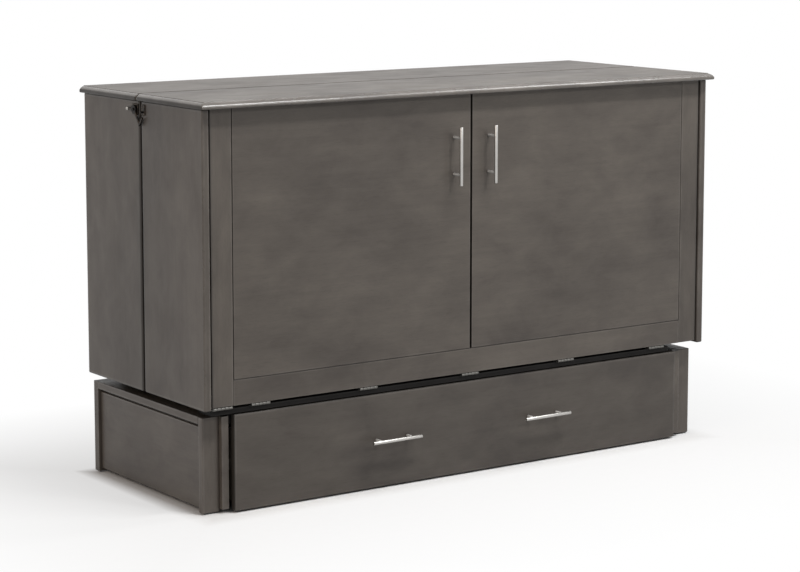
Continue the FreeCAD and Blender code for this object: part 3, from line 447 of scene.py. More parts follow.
def rounded_outline(
    width: float, height: float, radius: float, steps: int = 5
) -> Floats:
    """Rectangle with quarter circles at its corners, anticlockwise, about 0.

    Args:
        width: Size along the first coordinate.
        height: Size along the second coordinate.
        radius: Corner radius.
        steps: Points of each corner.

    Returns:
        The outline's points.
    """
    turn = np.linspace(0, math.pi / 2, steps)
    corners = np.arange(4)[:, None] * (math.pi / 2) + turn
    signs = np.array([[1, 1], [-1, 1], [-1, -1], [1, -1]], float)
    middle = signs * [width / 2 - radius, height / 2 - radius]
    bend = np.stack([np.cos(corners), np.sin(corners)], -1) * radius
    return (middle[:, None, :] + bend).reshape(-1, 2)


def drawn(
    outline: Floats, axis: Axis, start: float, end: float, bevel: float
) -> Surface:
    """Flat shape drawn out along an axis, its rims bevelled.

    The outline shrinks towards its middle by the bevel in the first and last
    rings, and the two rings between lie a bevel further in along the axis.

    Args:
        outline: Outline in the two coordinates that follow the axis in turn.
        axis: Axis that the shape is drawn along.
        start: Where it starts.
        end: Where it ends.
        bevel: Width of the bevel.

    Returns:
        The drawn surface.
    """
    middle = (outline.max(0) + outline.min(0)) / 2
    half = (outline.max(0) - outline.min(0)) / 2
    shrunk = middle + (outline - middle) * (1 - bevel / half)
    flat = np.stack([shrunk, outline, outline, shrunk])
    stations = np.array([[start], [start + bevel], [end - bevel], [end]])
    rings = laid_out(axis, stations, flat[..., 0], flat[..., 1])
    return stacked(rings, edge=np.ones(4))


def screw_head(
    centre: Sequence[float], axis: Axis, facing: int, radius: float, lift: float
) -> Surface:
    """Domed screw head with a cross recess.

    On a polar grid of r and a, the height is lift times the root of
    1 - (r / radius) squared, less a smooth plus sign.

    Args:
        centre: Middle of the head's seat.
        axis: Axis that the screw goes in along.
        facing: 1 where the head looks along the axis, -1 against it.
        radius: Head radius.
        lift: Height of the dome.

    Returns:
        The head.
    """
    share = np.array(SCREW_RINGS)
    turn = full_turn(SCREW_SIDES)
    flat = share[:, None, None] * np.stack([np.cos(turn), np.sin(turn)], -1)
    dome = np.sqrt(np.clip(1 - share**2, 0, None))[:, None]
    sizes = np.abs(flat)
    wide = np.clip((CROSS_HALF_WIDTH - sizes.min(-1)) / CROSS_FADE, 0, 1)
    long = np.clip((CROSS_HALF_LENGTH - sizes.max(-1)) / CROSS_FADE, 0, 1)
    height = (dome - CROSS_DEPTH * wide * long) * lift
    head = stacked(laid_out(axis, height, flat[..., 0] * radius, flat[..., 1] * radius))
    return (head if facing > 0 else head.mirrored(axis)).moved(centre)


def node_box(node: str) -> tuple[Floats, Floats]:
    """Box of a CAD node, as arrays to work on.

    Args:
        node: Name of the node.

    Returns:
        Lowest and highest corner.
    """
    low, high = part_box(node)
    return np.array(low, float), np.array(high, float)


def loose_solids(node: str) -> list[tuple[Floats, Floats]]:
    """Lowest and highest corners of each separate solid of a CAD node.

    Triangles that share an edge belong together: each takes the lowest label
    found on its edges until no label changes.

    Args:
        node: Name of the node.

    Returns:
        Corner pairs, in order of X, then Y, then Z.
    """
    mesh = bpy.data.objects[node].data
    mesh.calc_loop_triangles()
    points = np.zeros(len(mesh.vertices) * 3)
    mesh.vertices.foreach_get("co", points)
    points = points.reshape(-1, 3)
    corners = np.zeros(len(mesh.loop_triangles) * 3, dtype=np.int64)
    mesh.loop_triangles.foreach_get("vertices", corners)
    _, merged = np.unique(np.round(points, 5), axis=0, return_inverse=True)
    triangles = merged.ravel()[corners.reshape(-1, 3)]
    sides = np.sort(triangles[:, [[0, 1], [1, 2], [2, 0]]], axis=2).reshape(-1, 2)
    _, side_of = np.unique(sides, axis=0, return_inverse=True)
    side_of = side_of.reshape(-1, 3)
    label = np.arange(len(triangles))
    while True:
        lowest = np.full(side_of.max() + 1, len(triangles))
        np.minimum.at(lowest, side_of.ravel(), np.repeat(label, 3))
        spread = lowest[side_of].min(1)
        if (spread == label).all():
            break
        label = spread
    found = []
    for number in np.unique(label):
        part = points[corners.reshape(-1, 3)[label == number].ravel()]
        found.append((part.min(0), part.max(0)))
    return sorted(found, key=lambda pair: tuple(np.round(pair[0], 4)))


def added(name: str, data: Any) -> bpy.types.Object:
    """Add an object to the scene, at the origin.

    Args:
        name: Its name.
        data: Its mesh, lamp or camera.

    Returns:
        The object.
    """
    thing = bpy.data.objects.new(name, data)
    bpy.context.scene.collection.objects.link(thing)
    return thing


# Finishes --------------------------------------------------------------------


@dataclass(frozen=True)
class Layer:
    """Layer of noise: its scales along and across the grain, and its roughness."""

    along: float
    across: float
    detail: float = 3.0
    roughness: float = 0.5
    warp: float = 0.0


class Wiring:
    """Node tree with short calls for adding to it."""

    def __init__(self, tree: bpy.types.NodeTree) -> None:
        """Empty the tree and keep hold of it."""
        tree.nodes.clear()
        self.tree = tree

    def add(
        self, kind: str, feeds: Mapping[str | int, Any] | None = None, **settings: Any
    ) -> Any:
        """Add a node.

        Args:
            kind: Blender's name of the node type.
            feeds: What its inputs take, by name or number.
            **settings: Attributes to set on it.

        Returns:
            The node.
        """
        node = self.tree.nodes.new(kind)
        for name, value in settings.items():
            setattr(node, name, value)
        for key, value in (feeds or {}).items():
            self.feed(node.inputs[key], value)
        return node

    def feed(self, socket: Any, value: Any) -> None:
        """Link a value that is an output, or set it on the socket itself.

        Args:
            socket: Input that takes the value.
            value: Output of a node, number, vector or colour.
        """
        if isinstance(value, bpy.types.NodeSocket):
            self.tree.links.new(value, socket)
        else:
            socket.default_value = (*value, 1.0) if socket.type == "RGBA" else value

    def math(self, operation: str, first: Any, second: Any = 0.0) -> Any:
        """One sum of two values.

        Args:
            operation: Blender's name of the sum.
            first: First value.
            second: Second value.

        Returns:
            The result's output.
        """
        feeds = {0: first, 1: second}
        return self.add("ShaderNodeMath", feeds, operation=operation).outputs[0]

    def times(self, first: Any, second: Any) -> Any:
        """One value times another."""
        return self.math("MULTIPLY", first, second)

    def ramp(self, value: Any, source: Span = (0, 1), target: Span = (0, 1)) -> Any:
        """Value carried from one range to another and held within it.

        Args:
            value: The value.
            source: Range that it comes from.
            target: Range that it goes to.

        Returns:
            The result's output.
        """
        feeds = {
            "Value": value,
            "From Min": source[0],
            "From Max": source[1],
            "To Min": target[0],
            "To Max": target[1],
        }
        return self.add("ShaderNodeMapRange", feeds, clamp=True).outputs["Result"]


class Finish(Wiring):
    """Material with one shader, and the patterns that feed it."""

    def __init__(self, name: str) -> None:
        """Start a material with a bare shader.

        Args:
            name: Name of the material.
        """
        self.material = bpy.data.materials.new(name)
        self.material.use_nodes = True
        super().__init__(self.material.node_tree)
        self.shader = self.add("ShaderNodeBsdfPrincipled")
        surface = {"Surface": self.shader.outputs[0]}
        self.output = self.add("ShaderNodeOutputMaterial", surface)

    def attribute(self, name: str) -> Any:
        """Value of a number kept on the mesh."""
        return self.add("ShaderNodeAttribute", attribute_name=name).outputs["Fac"]

    def place(self, scale: Sequence[float] = (1, 1, 1)) -> Any:
        """Object coordinates, scaled.

        Args:
            scale: Scales for X, Y and Z.

        Returns:
            The coordinates' output.
        """
        where = self.add("ShaderNodeTexCoord").outputs["Object"]
        feeds = {"Vector": where, "Scale": scale}
        return self.add("ShaderNodeMapping", feeds).outputs[0]

    def split(self) -> Any:
        """X, Y and Z of the object coordinates."""
        return self.add("ShaderNodeSeparateXYZ", {0: self.place()}).outputs

    def noise(self, layer: Layer, grain: Grain = Grain.ACROSS, shift: Any = 0.0) -> Any:
        """Noise stretched along the grain.

        Args:
            layer: How fine and how rough it is.
            grain: Direction of the grain.
            shift: Number that picks the pattern.

        Returns:
            The noise's output.
        """
        scales = [layer.across] * 3
        scales[grain.value] = layer.along
        feeds = {
            "Vector": self.place(scales),
            "W": shift,
            "Scale": 1.0,
            "Detail": layer.detail,
            "Roughness": layer.roughness,
            "Distortion": layer.warp,
        }
        node = self.add("ShaderNodeTexNoise", feeds, noise_dimensions="4D")
        return node.outputs["Fac"]

    def mix(self, factor: Any, first: Any, second: Any, blend: str = "MIX") -> Any:
        """Two colours mixed.

        Args:
            factor: Share of the second.
            first: First colour.
            second: Second colour.
            blend: Blender's name of the way they mix.

        Returns:
            The colour's output.
        """
        feeds = {"Factor": factor, 6: first, 7: second}
        node = self.add("ShaderNodeMix", feeds, data_type="RGBA", blend_type=blend)
        return node.outputs[2]

    def shaded(self, colour: Any, shade: Any) -> Any:
        """A colour times a grey."""
        grey = self.add("ShaderNodeCombineColor", {0: shade, 1: shade, 2: shade})
        return self.mix(1.0, colour, grey.outputs[0], "MULTIPLY")

    def bump(self, height: Any, strength: float, distance: float) -> Any:
        """Normals tilted by a height."""
        feeds = {"Height": height, "Strength": strength, "Distance": distance}
        return self.add("ShaderNodeBump", feeds).outputs[0]

    def made(self, feeds: Mapping[str, Any]) -> bpy.types.Material:
        """Feed the shader.

        Args:
            feeds: What its inputs take, by name.

        Returns:
            The material.
        """
        for name, value in feeds.items():
            self.feed(self.shader.inputs[name], value)
        return self.material


@dataclass(frozen=True)
class StainedWood:
    """Grey-brown stain on fine grain, with soft blotches and rubbed edges."""

    name: str
    grain: Grain
    dark: Colour = (0.0734, 0.0621, 0.0541)
    light: Colour = (0.1455, 0.1265, 0.1076)
    rubbed: Colour = (0.245, 0.22, 0.195)
    roughness: float = 0.44
    specular: float = 0.4
    figure: float = 1.0
    varnish: float = 0.0
    varnish_roughness: float = 0.27
    clouds: Layer = Layer(2.6, 4.2, 3, 0.55, 0.6)
    patches: Layer = Layer(8, 15, 4, 0.6, 0.5)
    streaks: Layer = Layer(3.5, 85, 4, 0.6)
    pores: Layer = Layer(45, 950, 2)
    cloud_share: float = 0.55
    soak: float = 0.62
    wear: Span = (0.05, 0.35)
    edge_gloss: float = 0.18
    edge_relief: float = 0.15

    def build(self) -> bpy.types.Material:
        """Build the material.

        Clouds and patches are warped noise, longer along the grain.  Streaks
        and pores are noise drawn out along the grain.  All darken or lighten
        the stain, end grain drinks more of it, and the same tip mark paints
        shade on sides that face a seam or gap.  Rounded edges are rubbed
        lighter and smoother.  Varnish lies on the rounded edges only.

        Returns:
            The material.
        """
        tree = Finish(self.name)
        shift, tip = tree.attribute("shift"), tree.attribute("tip")
        layers = (self.clouds, self.patches, self.streaks, self.pores)
        cloud, patch, streak, pore = (
            tree.noise(layer, self.grain, shift) for layer in layers
        )
        blotch = tree.math(
            "ADD",
            tree.ramp(cloud, (0.34, 0.66), (0, self.cloud_share)),
            tree.ramp(patch, (0.32, 0.68), (0, 1 - self.cloud_share)),
        )
        fine = (1 - 0.06 * self.figure, 1 + 0.05 * self.figure)
        pits = tree.ramp(pore, (0.34, 0.44), (0.86, 1.0))
        shade = tree.times(tree.ramp(streak, (0.32, 0.68), fine), pits)
        # tip darkens end grain, and also paints shade on sides that face a seam or gap.
        shade = tree.times(shade, tree.ramp(tip, target=(1, 1 - self.soak)))
        colour = tree.shaded(tree.mix(blotch, self.dark, self.light), shade)
        edge = tree.times(tree.attribute("edge"), tree.ramp(tip, target=(1, 0)))
        wear = tree.times(edge, tree.ramp(patch, (0.38, 0.62), self.wear))
        rough = (self.roughness + 0.05, self.roughness - 0.04)
        gloss = tree.times(edge, self.edge_gloss)
        height = tree.math("ADD", tree.times(pits, 1.4), tree.times(streak, 0.8))
        height = tree.times(height, tree.ramp(edge, target=(1, self.edge_relief)))
        feeds = {
            "Base Color": tree.mix(wear, colour, self.rubbed),
            "Roughness": tree.math(
                "SUBTRACT", tree.ramp(patch, NOISE_RANGE, rough), gloss
            ),
            "Specular IOR Level": self.specular,
            "Normal": tree.bump(height, 0.12, 0.4 * MM),
        }
        if self.varnish:
            feeds["Coat Weight"] = tree.times(edge, self.varnish)
            feeds["Coat Roughness"] = self.varnish_roughness
        return tree.made(feeds)


@dataclass(frozen=True)
class PlanedPine:
    """Planed pine with growth lines, a few darker streaks and soft edges."""

    name: str
    grain: Grain
    pale: Colour = (0.62, 0.45, 0.27)
    late: Colour = (0.44, 0.27, 0.13)
    rubbed: Colour = (0.4, 0.27, 0.15)
    growth: Layer = Layer(1.1, 9, 2)
    fibres: Layer = Layer(6, 260, 4, 0.6)
    tones: Layer = Layer(0.7, 3, 2)
    rings: float = 120.0

    def build(self) -> bpy.types.Material:
        """Build the material.

        Growth lines are the sine of a warped distance across the grain.

        Returns:
            The material.
        """
        tree = Finish(self.name)
        shift = tree.attribute("shift")
        growth, fibre, tone = (
            tree.noise(layer, self.grain, shift)
            for layer in (self.growth, self.fibres, self.tones)
        )
        lines = tree.ramp(
            tree.math("SINE", tree.times(growth, self.rings)), (-0.2, 1.0), (0, 0.55)
        )
        shade = tree.times(
            tree.ramp(fibre, NOISE_RANGE, (0.9, 1.08)),
            tree.ramp(tone, NOISE_RANGE, (0.88, 1.1)),
        )
        colour = tree.shaded(tree.mix(lines, self.pale, self.late), shade)
        wear = tree.times(tree.attribute("edge"), 0.25)
        return tree.made(
            {
                "Base Color": tree.mix(wear, colour, self.rubbed),
                "Roughness": tree.ramp(fibre, NOISE_RANGE, (0.62, 0.5)),
                "Normal": tree.bump(fibre, 0.2, 0.3 * MM),
            }
        )


@dataclass(frozen=True)
class BrushedMetal:
    """Metal with fine brush lines along one axis."""

    name: str
    colour: Colour
    lines: Grain
    roughness: float = 0.27
    brush: Layer = Layer(30, 2600, 3, 0.6)
    haze: Layer = Layer(60, 60)

    def build(self) -> bpy.types.Material:
        """Build the material from noise drawn out along the brush lines.

        Returns:
            The material.
        """
        tree = Finish(self.name)
        shift = tree.attribute("shift")
        brush = tree.noise(self.brush, self.lines, shift)
        haze = tree.noise(self.haze, shift=shift)
        shade = tree.times(
            tree.ramp(brush, NOISE_RANGE, (0.9, 1.08)),
            tree.ramp(haze, NOISE_RANGE, (0.94, 1.04)),
        )
        rough = (self.roughness - 0.06, self.roughness + 0.1)
        return tree.made(
            {
                "Base Color": tree.shaded(self.colour, shade),
                "Metallic": 1.0,
                "Roughness": tree.ramp(brush, (0.25, 0.75), rough),
                "Normal": tree.bump(brush, 0.15, 0.05 * MM),
            }
        )


@dataclass(frozen=True)
class DarkBronze:
    """Dark patina over bronze, rubbed through on the edges."""

    name: str
    patina: Colour = (0.014, 0.012, 0.011)
    metal: Colour = (0.13, 0.098, 0.07)
    metallic: float = 0.85
    spots: Layer = Layer(220, 220, 4, 0.6)

    def build(self) -> bpy.types.Material:
        """Build the material: noise and wear uncover the metal.

        Returns:
            The material.
        """
        tree = Finish(self.name)
        spots = tree.noise(self.spots, shift=tree.attribute("shift"))
        rub = tree.times(
            tree.attribute("edge"), tree.ramp(spots, (0.42, 0.62), (0, 0.55))
        )
        rub = tree.math("ADD", rub, tree.ramp(spots, (0.62, 0.75), (0, 0.3)))
        return tree.made(
            {
                "Base Color": tree.mix(rub, self.patina, self.metal),
                "Metallic": self.metallic,
                "Roughness": tree.ramp(spots, NOISE_RANGE, (0.4, 0.55)),
                "Normal": tree.bump(spots, 0.15, 0.15 * MM),
            }
        )


@dataclass(frozen=True)
class MouldedPlastic:
    """Matt moulded plastic or rubber with a fine skin and a little dust."""

    name: str
    colour: Colour
    roughness: float = 0.55
    dust_colour: Colour = (0.25, 0.24, 0.22)
    skin: Layer = Layer(900, 900, 2)
    dust: Layer = Layer(45, 45, 3, 0.6)

    def build(self) -> bpy.types.Material:
        """Build the material: fine speckle in colour, gloss and height.

        Returns:
            The material.
        """
        tree = Finish(self.name)
        skin = tree.noise(self.skin)
        dust = tree.ramp(tree.noise(self.dust), (0.4, 0.75), (0, 0.16))
        rough = (self.roughness - 0.06, self.roughness + 0.08)
        return tree.made(
            {
                "Base Color": tree.mix(dust, self.colour, self.dust_colour),
                "Roughness": tree.ramp(skin, NOISE_RANGE, rough),
                "Normal": tree.bump(skin, 0.2, 0.1 * MM),
            }
        )


@dataclass(frozen=True)
class KnitCover:
    """Knitted mattress cover: rows of small stitches, soft sheen."""

    name: str
    colour: Colour = (0.74, 0.72, 0.68)
    sewn: Colour = (0.5, 0.48, 0.45)
    stitch: float = 2.6 * MM
    column_share: float = 0.8
    clouds: Layer = Layer(14, 14, 3, 0.6)

    def build(self) -> bpy.types.Material:
        """Build the material.

        Stitches are the product of two sines across the faces, one for rows
        and one for columns, taken on all three axes so that no side is bare.
        Along the quilting channels, which the mesh marks as edge, the colour is
        painted darker as shade.

        Returns:
            The material.
        """
        tree = Finish(self.name)
        turn = 2 * math.pi / self.stitch
        x, y, z = tree.split()
        columns = tree.times(tree.math("ADD", x, y), turn * self.column_share)
        knit = tree.times(
            tree.math("SINE", tree.times(z, turn)), tree.math("SINE", columns)
        )
        shade = tree.times(
            tree.ramp(knit, (-1, 1), (0.9, 1.03)),
            tree.ramp(tree.noise(self.clouds), NOISE_RANGE, (0.95, 1.03)),
        )
        # Painted shade down the quilting channels.
        seam = tree.times(tree.attribute("edge"), 0.45)
        return tree.made(
            {
                "Base Color": tree.mix(
                    seam, tree.shaded(self.colour, shade), self.sewn
                ),
                "Roughness": 0.85,
                "Sheen Weight": 0.25,
                "Normal": tree.bump(knit, 0.35, 0.5 * MM),
            }
        )


NICKEL: Colour = (0.5, 0.487, 0.465)
SINGLE_FINISHES = (
    BrushedMetal("nickel_upright", NICKEL, Grain.UPRIGHT, 0.32),
    BrushedMetal("nickel_level", NICKEL, Grain.ACROSS, 0.32),
    BrushedMetal("post_metal", (0.2, 0.193, 0.182), Grain.DEEP, 0.4),
    BrushedMetal("zinc", (0.17, 0.165, 0.155), Grain.ACROSS, 0.5),
    BrushedMetal("zinc_deep", (0.34, 0.33, 0.31), Grain.DEEP, 0.4),
    DarkBronze("bronze"),
    MouldedPlastic("rubber", (0.035, 0.035, 0.036), 0.6),
    MouldedPlastic("hub_plastic", (0.12, 0.12, 0.12), 0.4),
    MouldedPlastic("glide_plastic", (0.05, 0.05, 0.05), 0.5),
    KnitCover("knit"),
    MouldedPlastic("piping", (0.42, 0.40, 0.37), 0.8),
)
STAINS: dict[Wood, dict[str, Any]] = {
    Wood.STAIN: {},
    Wood.BOARD: {
        "dark": (0.11, 0.092, 0.073),
        "light": (0.175, 0.15, 0.12),
        "rubbed": (0.24, 0.205, 0.17),
        "roughness": 0.6,
        "figure": 1.4,
    },
    # Stain about a sixth darker than STAIN: painted shade on the drawer front, low on
    # the bed.
    Wood.LOWER: {"dark": (0.061, 0.0516, 0.0452), "light": (0.1215, 0.1056, 0.09)},
    # Stain a tenth darker than STAIN: painted shade on the tops, which the lamps light
    # strongly.  The varnish is a real coat on the rounded edges.
    Wood.TOP: {
        "dark": (0.066, 0.0558, 0.0486),
        "light": (0.131, 0.1138, 0.0968),
        "varnish": 0.6,
    },
    # Stain about a sixth lighter than STAIN: painted light on base stiles and drawer
    # guides, which stand in shade.
    Wood.PALE: {"dark": (0.0856, 0.0722, 0.063), "light": (0.168, 0.146, 0.124)},
    # Near-black stain: painted shadow on boards that sit in the dark gap under the
    # body.
    Wood.DARK: {
        "dark": (0.009, 0.0082, 0.0076),
        "light": (0.017, 0.0155, 0.0145),
        "rubbed": (0.03, 0.027, 0.025),
        "roughness": 0.7,
        "specular": 0.2,
    },
}
# Material slots of the record for the woods that aren't stained outside.
PLAIN_SLOTS = {Wood.BOARD: "plain_board", Wood.PINE: "slat_wood"}


class Palette:
    """All finishes of the bed, each built once and kept by name."""

    def __init__(self) -> None:
        """Set out every finish without building it."""
        finishes: list[Any] = list(SINGLE_FINISHES)
        for grain in Grain:
            for wood, settings in STAINS.items():
                name = f"{wood.word}_{grain.word}"
                finishes.append(StainedWood(name, grain, **settings))
            finishes.append(PlanedPine(f"{Wood.PINE.word}_{grain.word}", grain))
        self._finishes = {finish.name: finish for finish in finishes}
        self._built: dict[str, bpy.types.Material] = {}

    def get(self, name: str) -> bpy.types.Material:
        """The material of one finish, built on first use.

        Args:
            name: Name of the finish.

        Returns:
            The material.
        """
        if name not in self._built:
            self._built[name] = self._finishes[name].build()
        return self._built[name]


class Workshop:
    """Makes named pieces from surfaces and fixes them to their bodies."""

    def __init__(self, record: dict[str, Any]) -> None:
        """Keep which body each CAD node belongs to.

        Args:
            record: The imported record.
        """
        bodies = record["behaviour"]["bodies"]
        self.body_of = {node: body for body, nodes in bodies.items() for node in nodes}
        self.palette = Palette()
        self.chance = np.random.default_rng(SEED)

    def shift(self) -> float:
        """A number that gives the next board its own grain."""
        return float(self.chance.uniform(0, 40))

    def alike(self, parts: Sequence[Surface]) -> list[Surface]:
        """The parts, all with the next grain."""
        shift = self.shift()
        return [replace(part, shift=shift) for part in parts]

    def apart(self, parts: Sequence[Surface]) -> list[Surface]:
        """The parts, each with a grain of its own."""
        return [replace(part, shift=self.shift()) for part in parts]

    def mesh(self, name: str, surfaces: Sequence[Surface]) -> bpy.types.Mesh:
        """Put surfaces into one mesh with their wear and shift.

        Args:
            name: Name of the mesh.
            surfaces: What it holds.

        Returns:
            The mesh.
        """
        faces: list[list[int]] = []
        slots: list[Ints] = []
        smooth: list[Ints] = []
        layers: dict[str, list[Floats]] = {"edge": [], "tip": [], "shift": []}
        start = 0
        for surface in surfaces:
            faces.extend((surface.quads + start).tolist())
            faces.extend((cap + start).tolist() for cap in surface.caps)
            sides = len(surface.quads) + len(surface.caps)
            slots.append(np.full(sides, surface.finish))
            smooth.append(surface.smooth & (np.arange(sides) < len(surface.quads)))
            blank = np.zeros(len(surface.points))
            layers["edge"].append(blank if surface.edge is None else surface.edge)
            layers["tip"].append(blank if surface.tip is None else surface.tip)
            layers["shift"].append(blank + surface.shift)
            start += len(surface.points)
        points = np.concatenate([surface.points for surface in surfaces])
        mesh = bpy.data.meshes.new(name)
        mesh.from_pydata(points.tolist(), [], faces)
        mesh.polygons.foreach_set(
            "material_index", np.concatenate(slots).astype(np.int32)
        )
        mesh.polygons.foreach_set("use_smooth", np.concatenate(smooth))
        for label, rows in layers.items():
            layer = mesh.attributes.new(label, "FLOAT", "POINT")
            layer.data.foreach_set("value", np.concatenate(rows).astype(np.float32))
        mesh.update()
        return mesh

    def piece(
        self,
        node: str,
        kind: str,
        surfaces: Sequence[Surface],
        slot: str,
        *finishes: str,
    ) -> bpy.types.Object:
        """Make the piece that stands for a CAD node and rides on its body.

        Args:
            node: The CAD node.
            kind: What the piece is, for the end of its name.
            surfaces: What it is made of.
            slot: The record's material slot; not used.
            *finishes: Palette names, in the order of the surfaces' finish.

        Returns:
            The object.
        """
        name = f"{node}_{kind}"
        mesh = self.mesh(name, surfaces)
        for finish in finishes:
            mesh.materials.append(self.palette.get(finish))
        thing = added(name, mesh)
        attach(thing, self.body_of[node])
        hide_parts(node)
        LOG.info("%s: %d faces on %s", name, len(mesh.polygons), self.body_of[node])
        return thing


# Wooden boards ---------------------------------------------------------------


@dataclass(frozen=True)
class BoardPlan:
    """How the boards of one CAD node are made."""

    node: str
    grain: Grain
    wood: Wood = Wood.STAIN
    radius: float = 1.2 * MM
    # Side that gets painted shade, where it faces a seam or gap, and how far in it
    # reaches, in radii.
    dark_side: tuple[Axis, int] | None = None
    dark_reach: float = 1.0
    sealed: bool = False

    def board(self, low: Floats, high: Floats) -> Surface:
        """One board, with its end grain marked and painted shade on one side.

        Args:
            low: Lowest corner.
            high: Highest corner.

        Returns:
            The board.
        """
        board = rounded_box(low, high, self.radius)
        if not self.sealed:
            board = board.sawn(self.grain, self.radius)
        if self.dark_side is None:
            return board
        axis, end = self.dark_side
        return board.soaked(axis.value, (end,), self.dark_reach * self.radius)


@dataclass
class Joinery:
    """A set of boards, each where its CAD solid is."""

    shop: Workshop
    plans: Sequence[BoardPlan]

    def build(self) -> None:
        """Make every board of the set."""
        for plan in self.plans:
            boards = [plan.board(low, high) for low, high in loose_solids(plan.node)]
            slot = PLAIN_SLOTS.get(plan.wood, "stained_wood")
            finish = f"{plan.wood.word}_{plan.grain.word}"
            self.shop.piece(plan.node, "wood", self.shop.apart(boards), slot, finish)


@dataclass
class MouldedTop:
    """Top board with a thumbnail edge and a small step above it."""

    shop: Workshop
    node: str
    nosed_front: bool
    quirk: float = 1.2 * MM
    thumb_reach: float = 13 * MM
    thumb_rise: float = 11 * MM
    thumb_power: float = 1.3
    thumb_sweep: float = 0.93
    foot: float = 3.5 * MM
    corner: float = 4 * MM
    seam_corner: float = 0.15
    step_wear: float = 0.25

    def profile(self, thickness: float) -> tuple[Floats, Floats]:
        """Section of the moulded edge, from the underside to the top.

        A quarter circle below, a short straight, then nearly a quarter of a
        superellipse, whose cosine and sine are raised to a power so that its
        middle is flatter, and last a small step with an eased edge.

        Args:
            thickness: Thickness of the board.

        Returns:
            Inset and height of each ring, and its wear.
        """
        board = thickness - self.quirk
        turn = np.linspace(0, math.pi / 2, 6)
        below = self.foot * np.stack([1 - np.sin(turn), 1 - np.cos(turn)], -1)
        rise = np.linspace(0, math.pi / 2 * self.thumb_sweep, 13)
        inset = self.thumb_reach * (1 - np.cos(rise) ** self.thumb_power)
        height = board - self.thumb_rise * (1 - np.sin(rise) ** self.thumb_power)
        ease = self.quirk / 3
        step = [
            (inset[-1] + 0.2 * ease, thickness - ease),
            (inset[-1] + 0.5 * ease, thickness - 0.3 * ease),
            (inset[-1] + 1.2 * ease, thickness),
            (inset[-1] + 4 * self.quirk, thickness),
        ]
        start = [(3 * self.foot, 0.0)]
        section = np.concatenate([start, below, np.stack([inset, height], -1), step])
        wear = np.ones(len(section))
        wear[[0, 1, -1]] = 0
        wear[-4:-1] = self.step_wear
        return section, wear

    def build(self) -> None:
        """Stack rounded rectangles, inset on the moulded sides only.

        Corners at the seam between the two tops are nearly square.
        """
        low, high = node_box(self.node)
        section, wear = self.profile(high[2] - low[2])
        rings = []
        for inset, height in section:
            front = inset if self.nosed_front else 0.0
            size = np.array([high[0] - low[0] - 2 * inset, high[1] - low[1] - front])
            flat = rounded_outline(size[0], size[1], self.corner)
            seam = ~((flat[:, 1] < 0) & self.nosed_front)
            square = (np.abs(flat) > size / 2 - self.corner).all(1) & seam
            corner = np.sign(flat) * size / 2
            eased = corner + (flat - corner) * self.seam_corner
            flat = np.where(square[:, None], eased, flat)
            ring = np.column_stack([flat, np.full(len(flat), low[2] + height)])
            ring[:, 0] += (low[0] + high[0]) / 2
            ring[:, 1] += (low[1] + front + high[1]) / 2
            rings.append(ring)
        top = stacked(np.array(rings), edge=wear).sawn(Grain.ACROSS, self.foot)
        parts = self.shop.alike([top])
        # The tops take the darker stain, a painted shade.
        self.shop.piece(self.node, "wood", parts, "stained_wood", "top_across")


# Metal pieces ----------------------------------------------------------------


@dataclass
class BarHandle:
    """Round bar on two posts, each with a flange on the face."""

    shop: Workshop
    node: str
    axis: Axis
    post_pitch: float = 96 * MM
    radius: float = 4.6 * MM
    post_radius: float = 3.8 * MM
    bar_ease: Profile = ((0, 0.8 * MM), (0.24 * MM, 0.28 * MM), (0.8 * MM, 0))
    neck_share: float = 0.98
    flange: float = 0.9 * MM
    flange_depth: float = 2.2 * MM
    flange_flat: float = 1.6 * MM
    flange_ease: float = 0.3 * MM

    def build(self) -> None:
        """Turn the bar and its posts and stand them on the face."""
        low, high = node_box(self.node)
        along = self.axis.value
        middle = (low + high) / 2
        middle[1] = low[1] + self.radius
        start = middle.copy()
        start[along] = low[along]
        bar = rod(high[along] - low[along], self.radius, self.bar_ease)
        parts = [turned(bar, self.axis, start, 40)]
        depth = high[1] - middle[1]
        neck = self.post_radius * self.neck_share
        full = self.post_radius + self.flange
        post = [
            (0.0, neck),
            (depth - self.flange_depth, neck),
            (depth - self.flange_flat, full),
            (depth - self.flange_ease, full),
            (depth, full - self.flange_ease),
        ]
        for side in (-0.5, 0.5):
            foot = middle.copy()
            foot[along] += side * self.post_pitch
            parts.append(replace(turned(post, Axis.Y, foot, 28), finish=1))
        finish = "nickel_upright" if self.axis is Axis.Z else "nickel_level"
        parts = self.shop.apart(parts)
        self.shop.piece(self.node, "bar", parts, "brushed_nickel", finish, "post_metal")


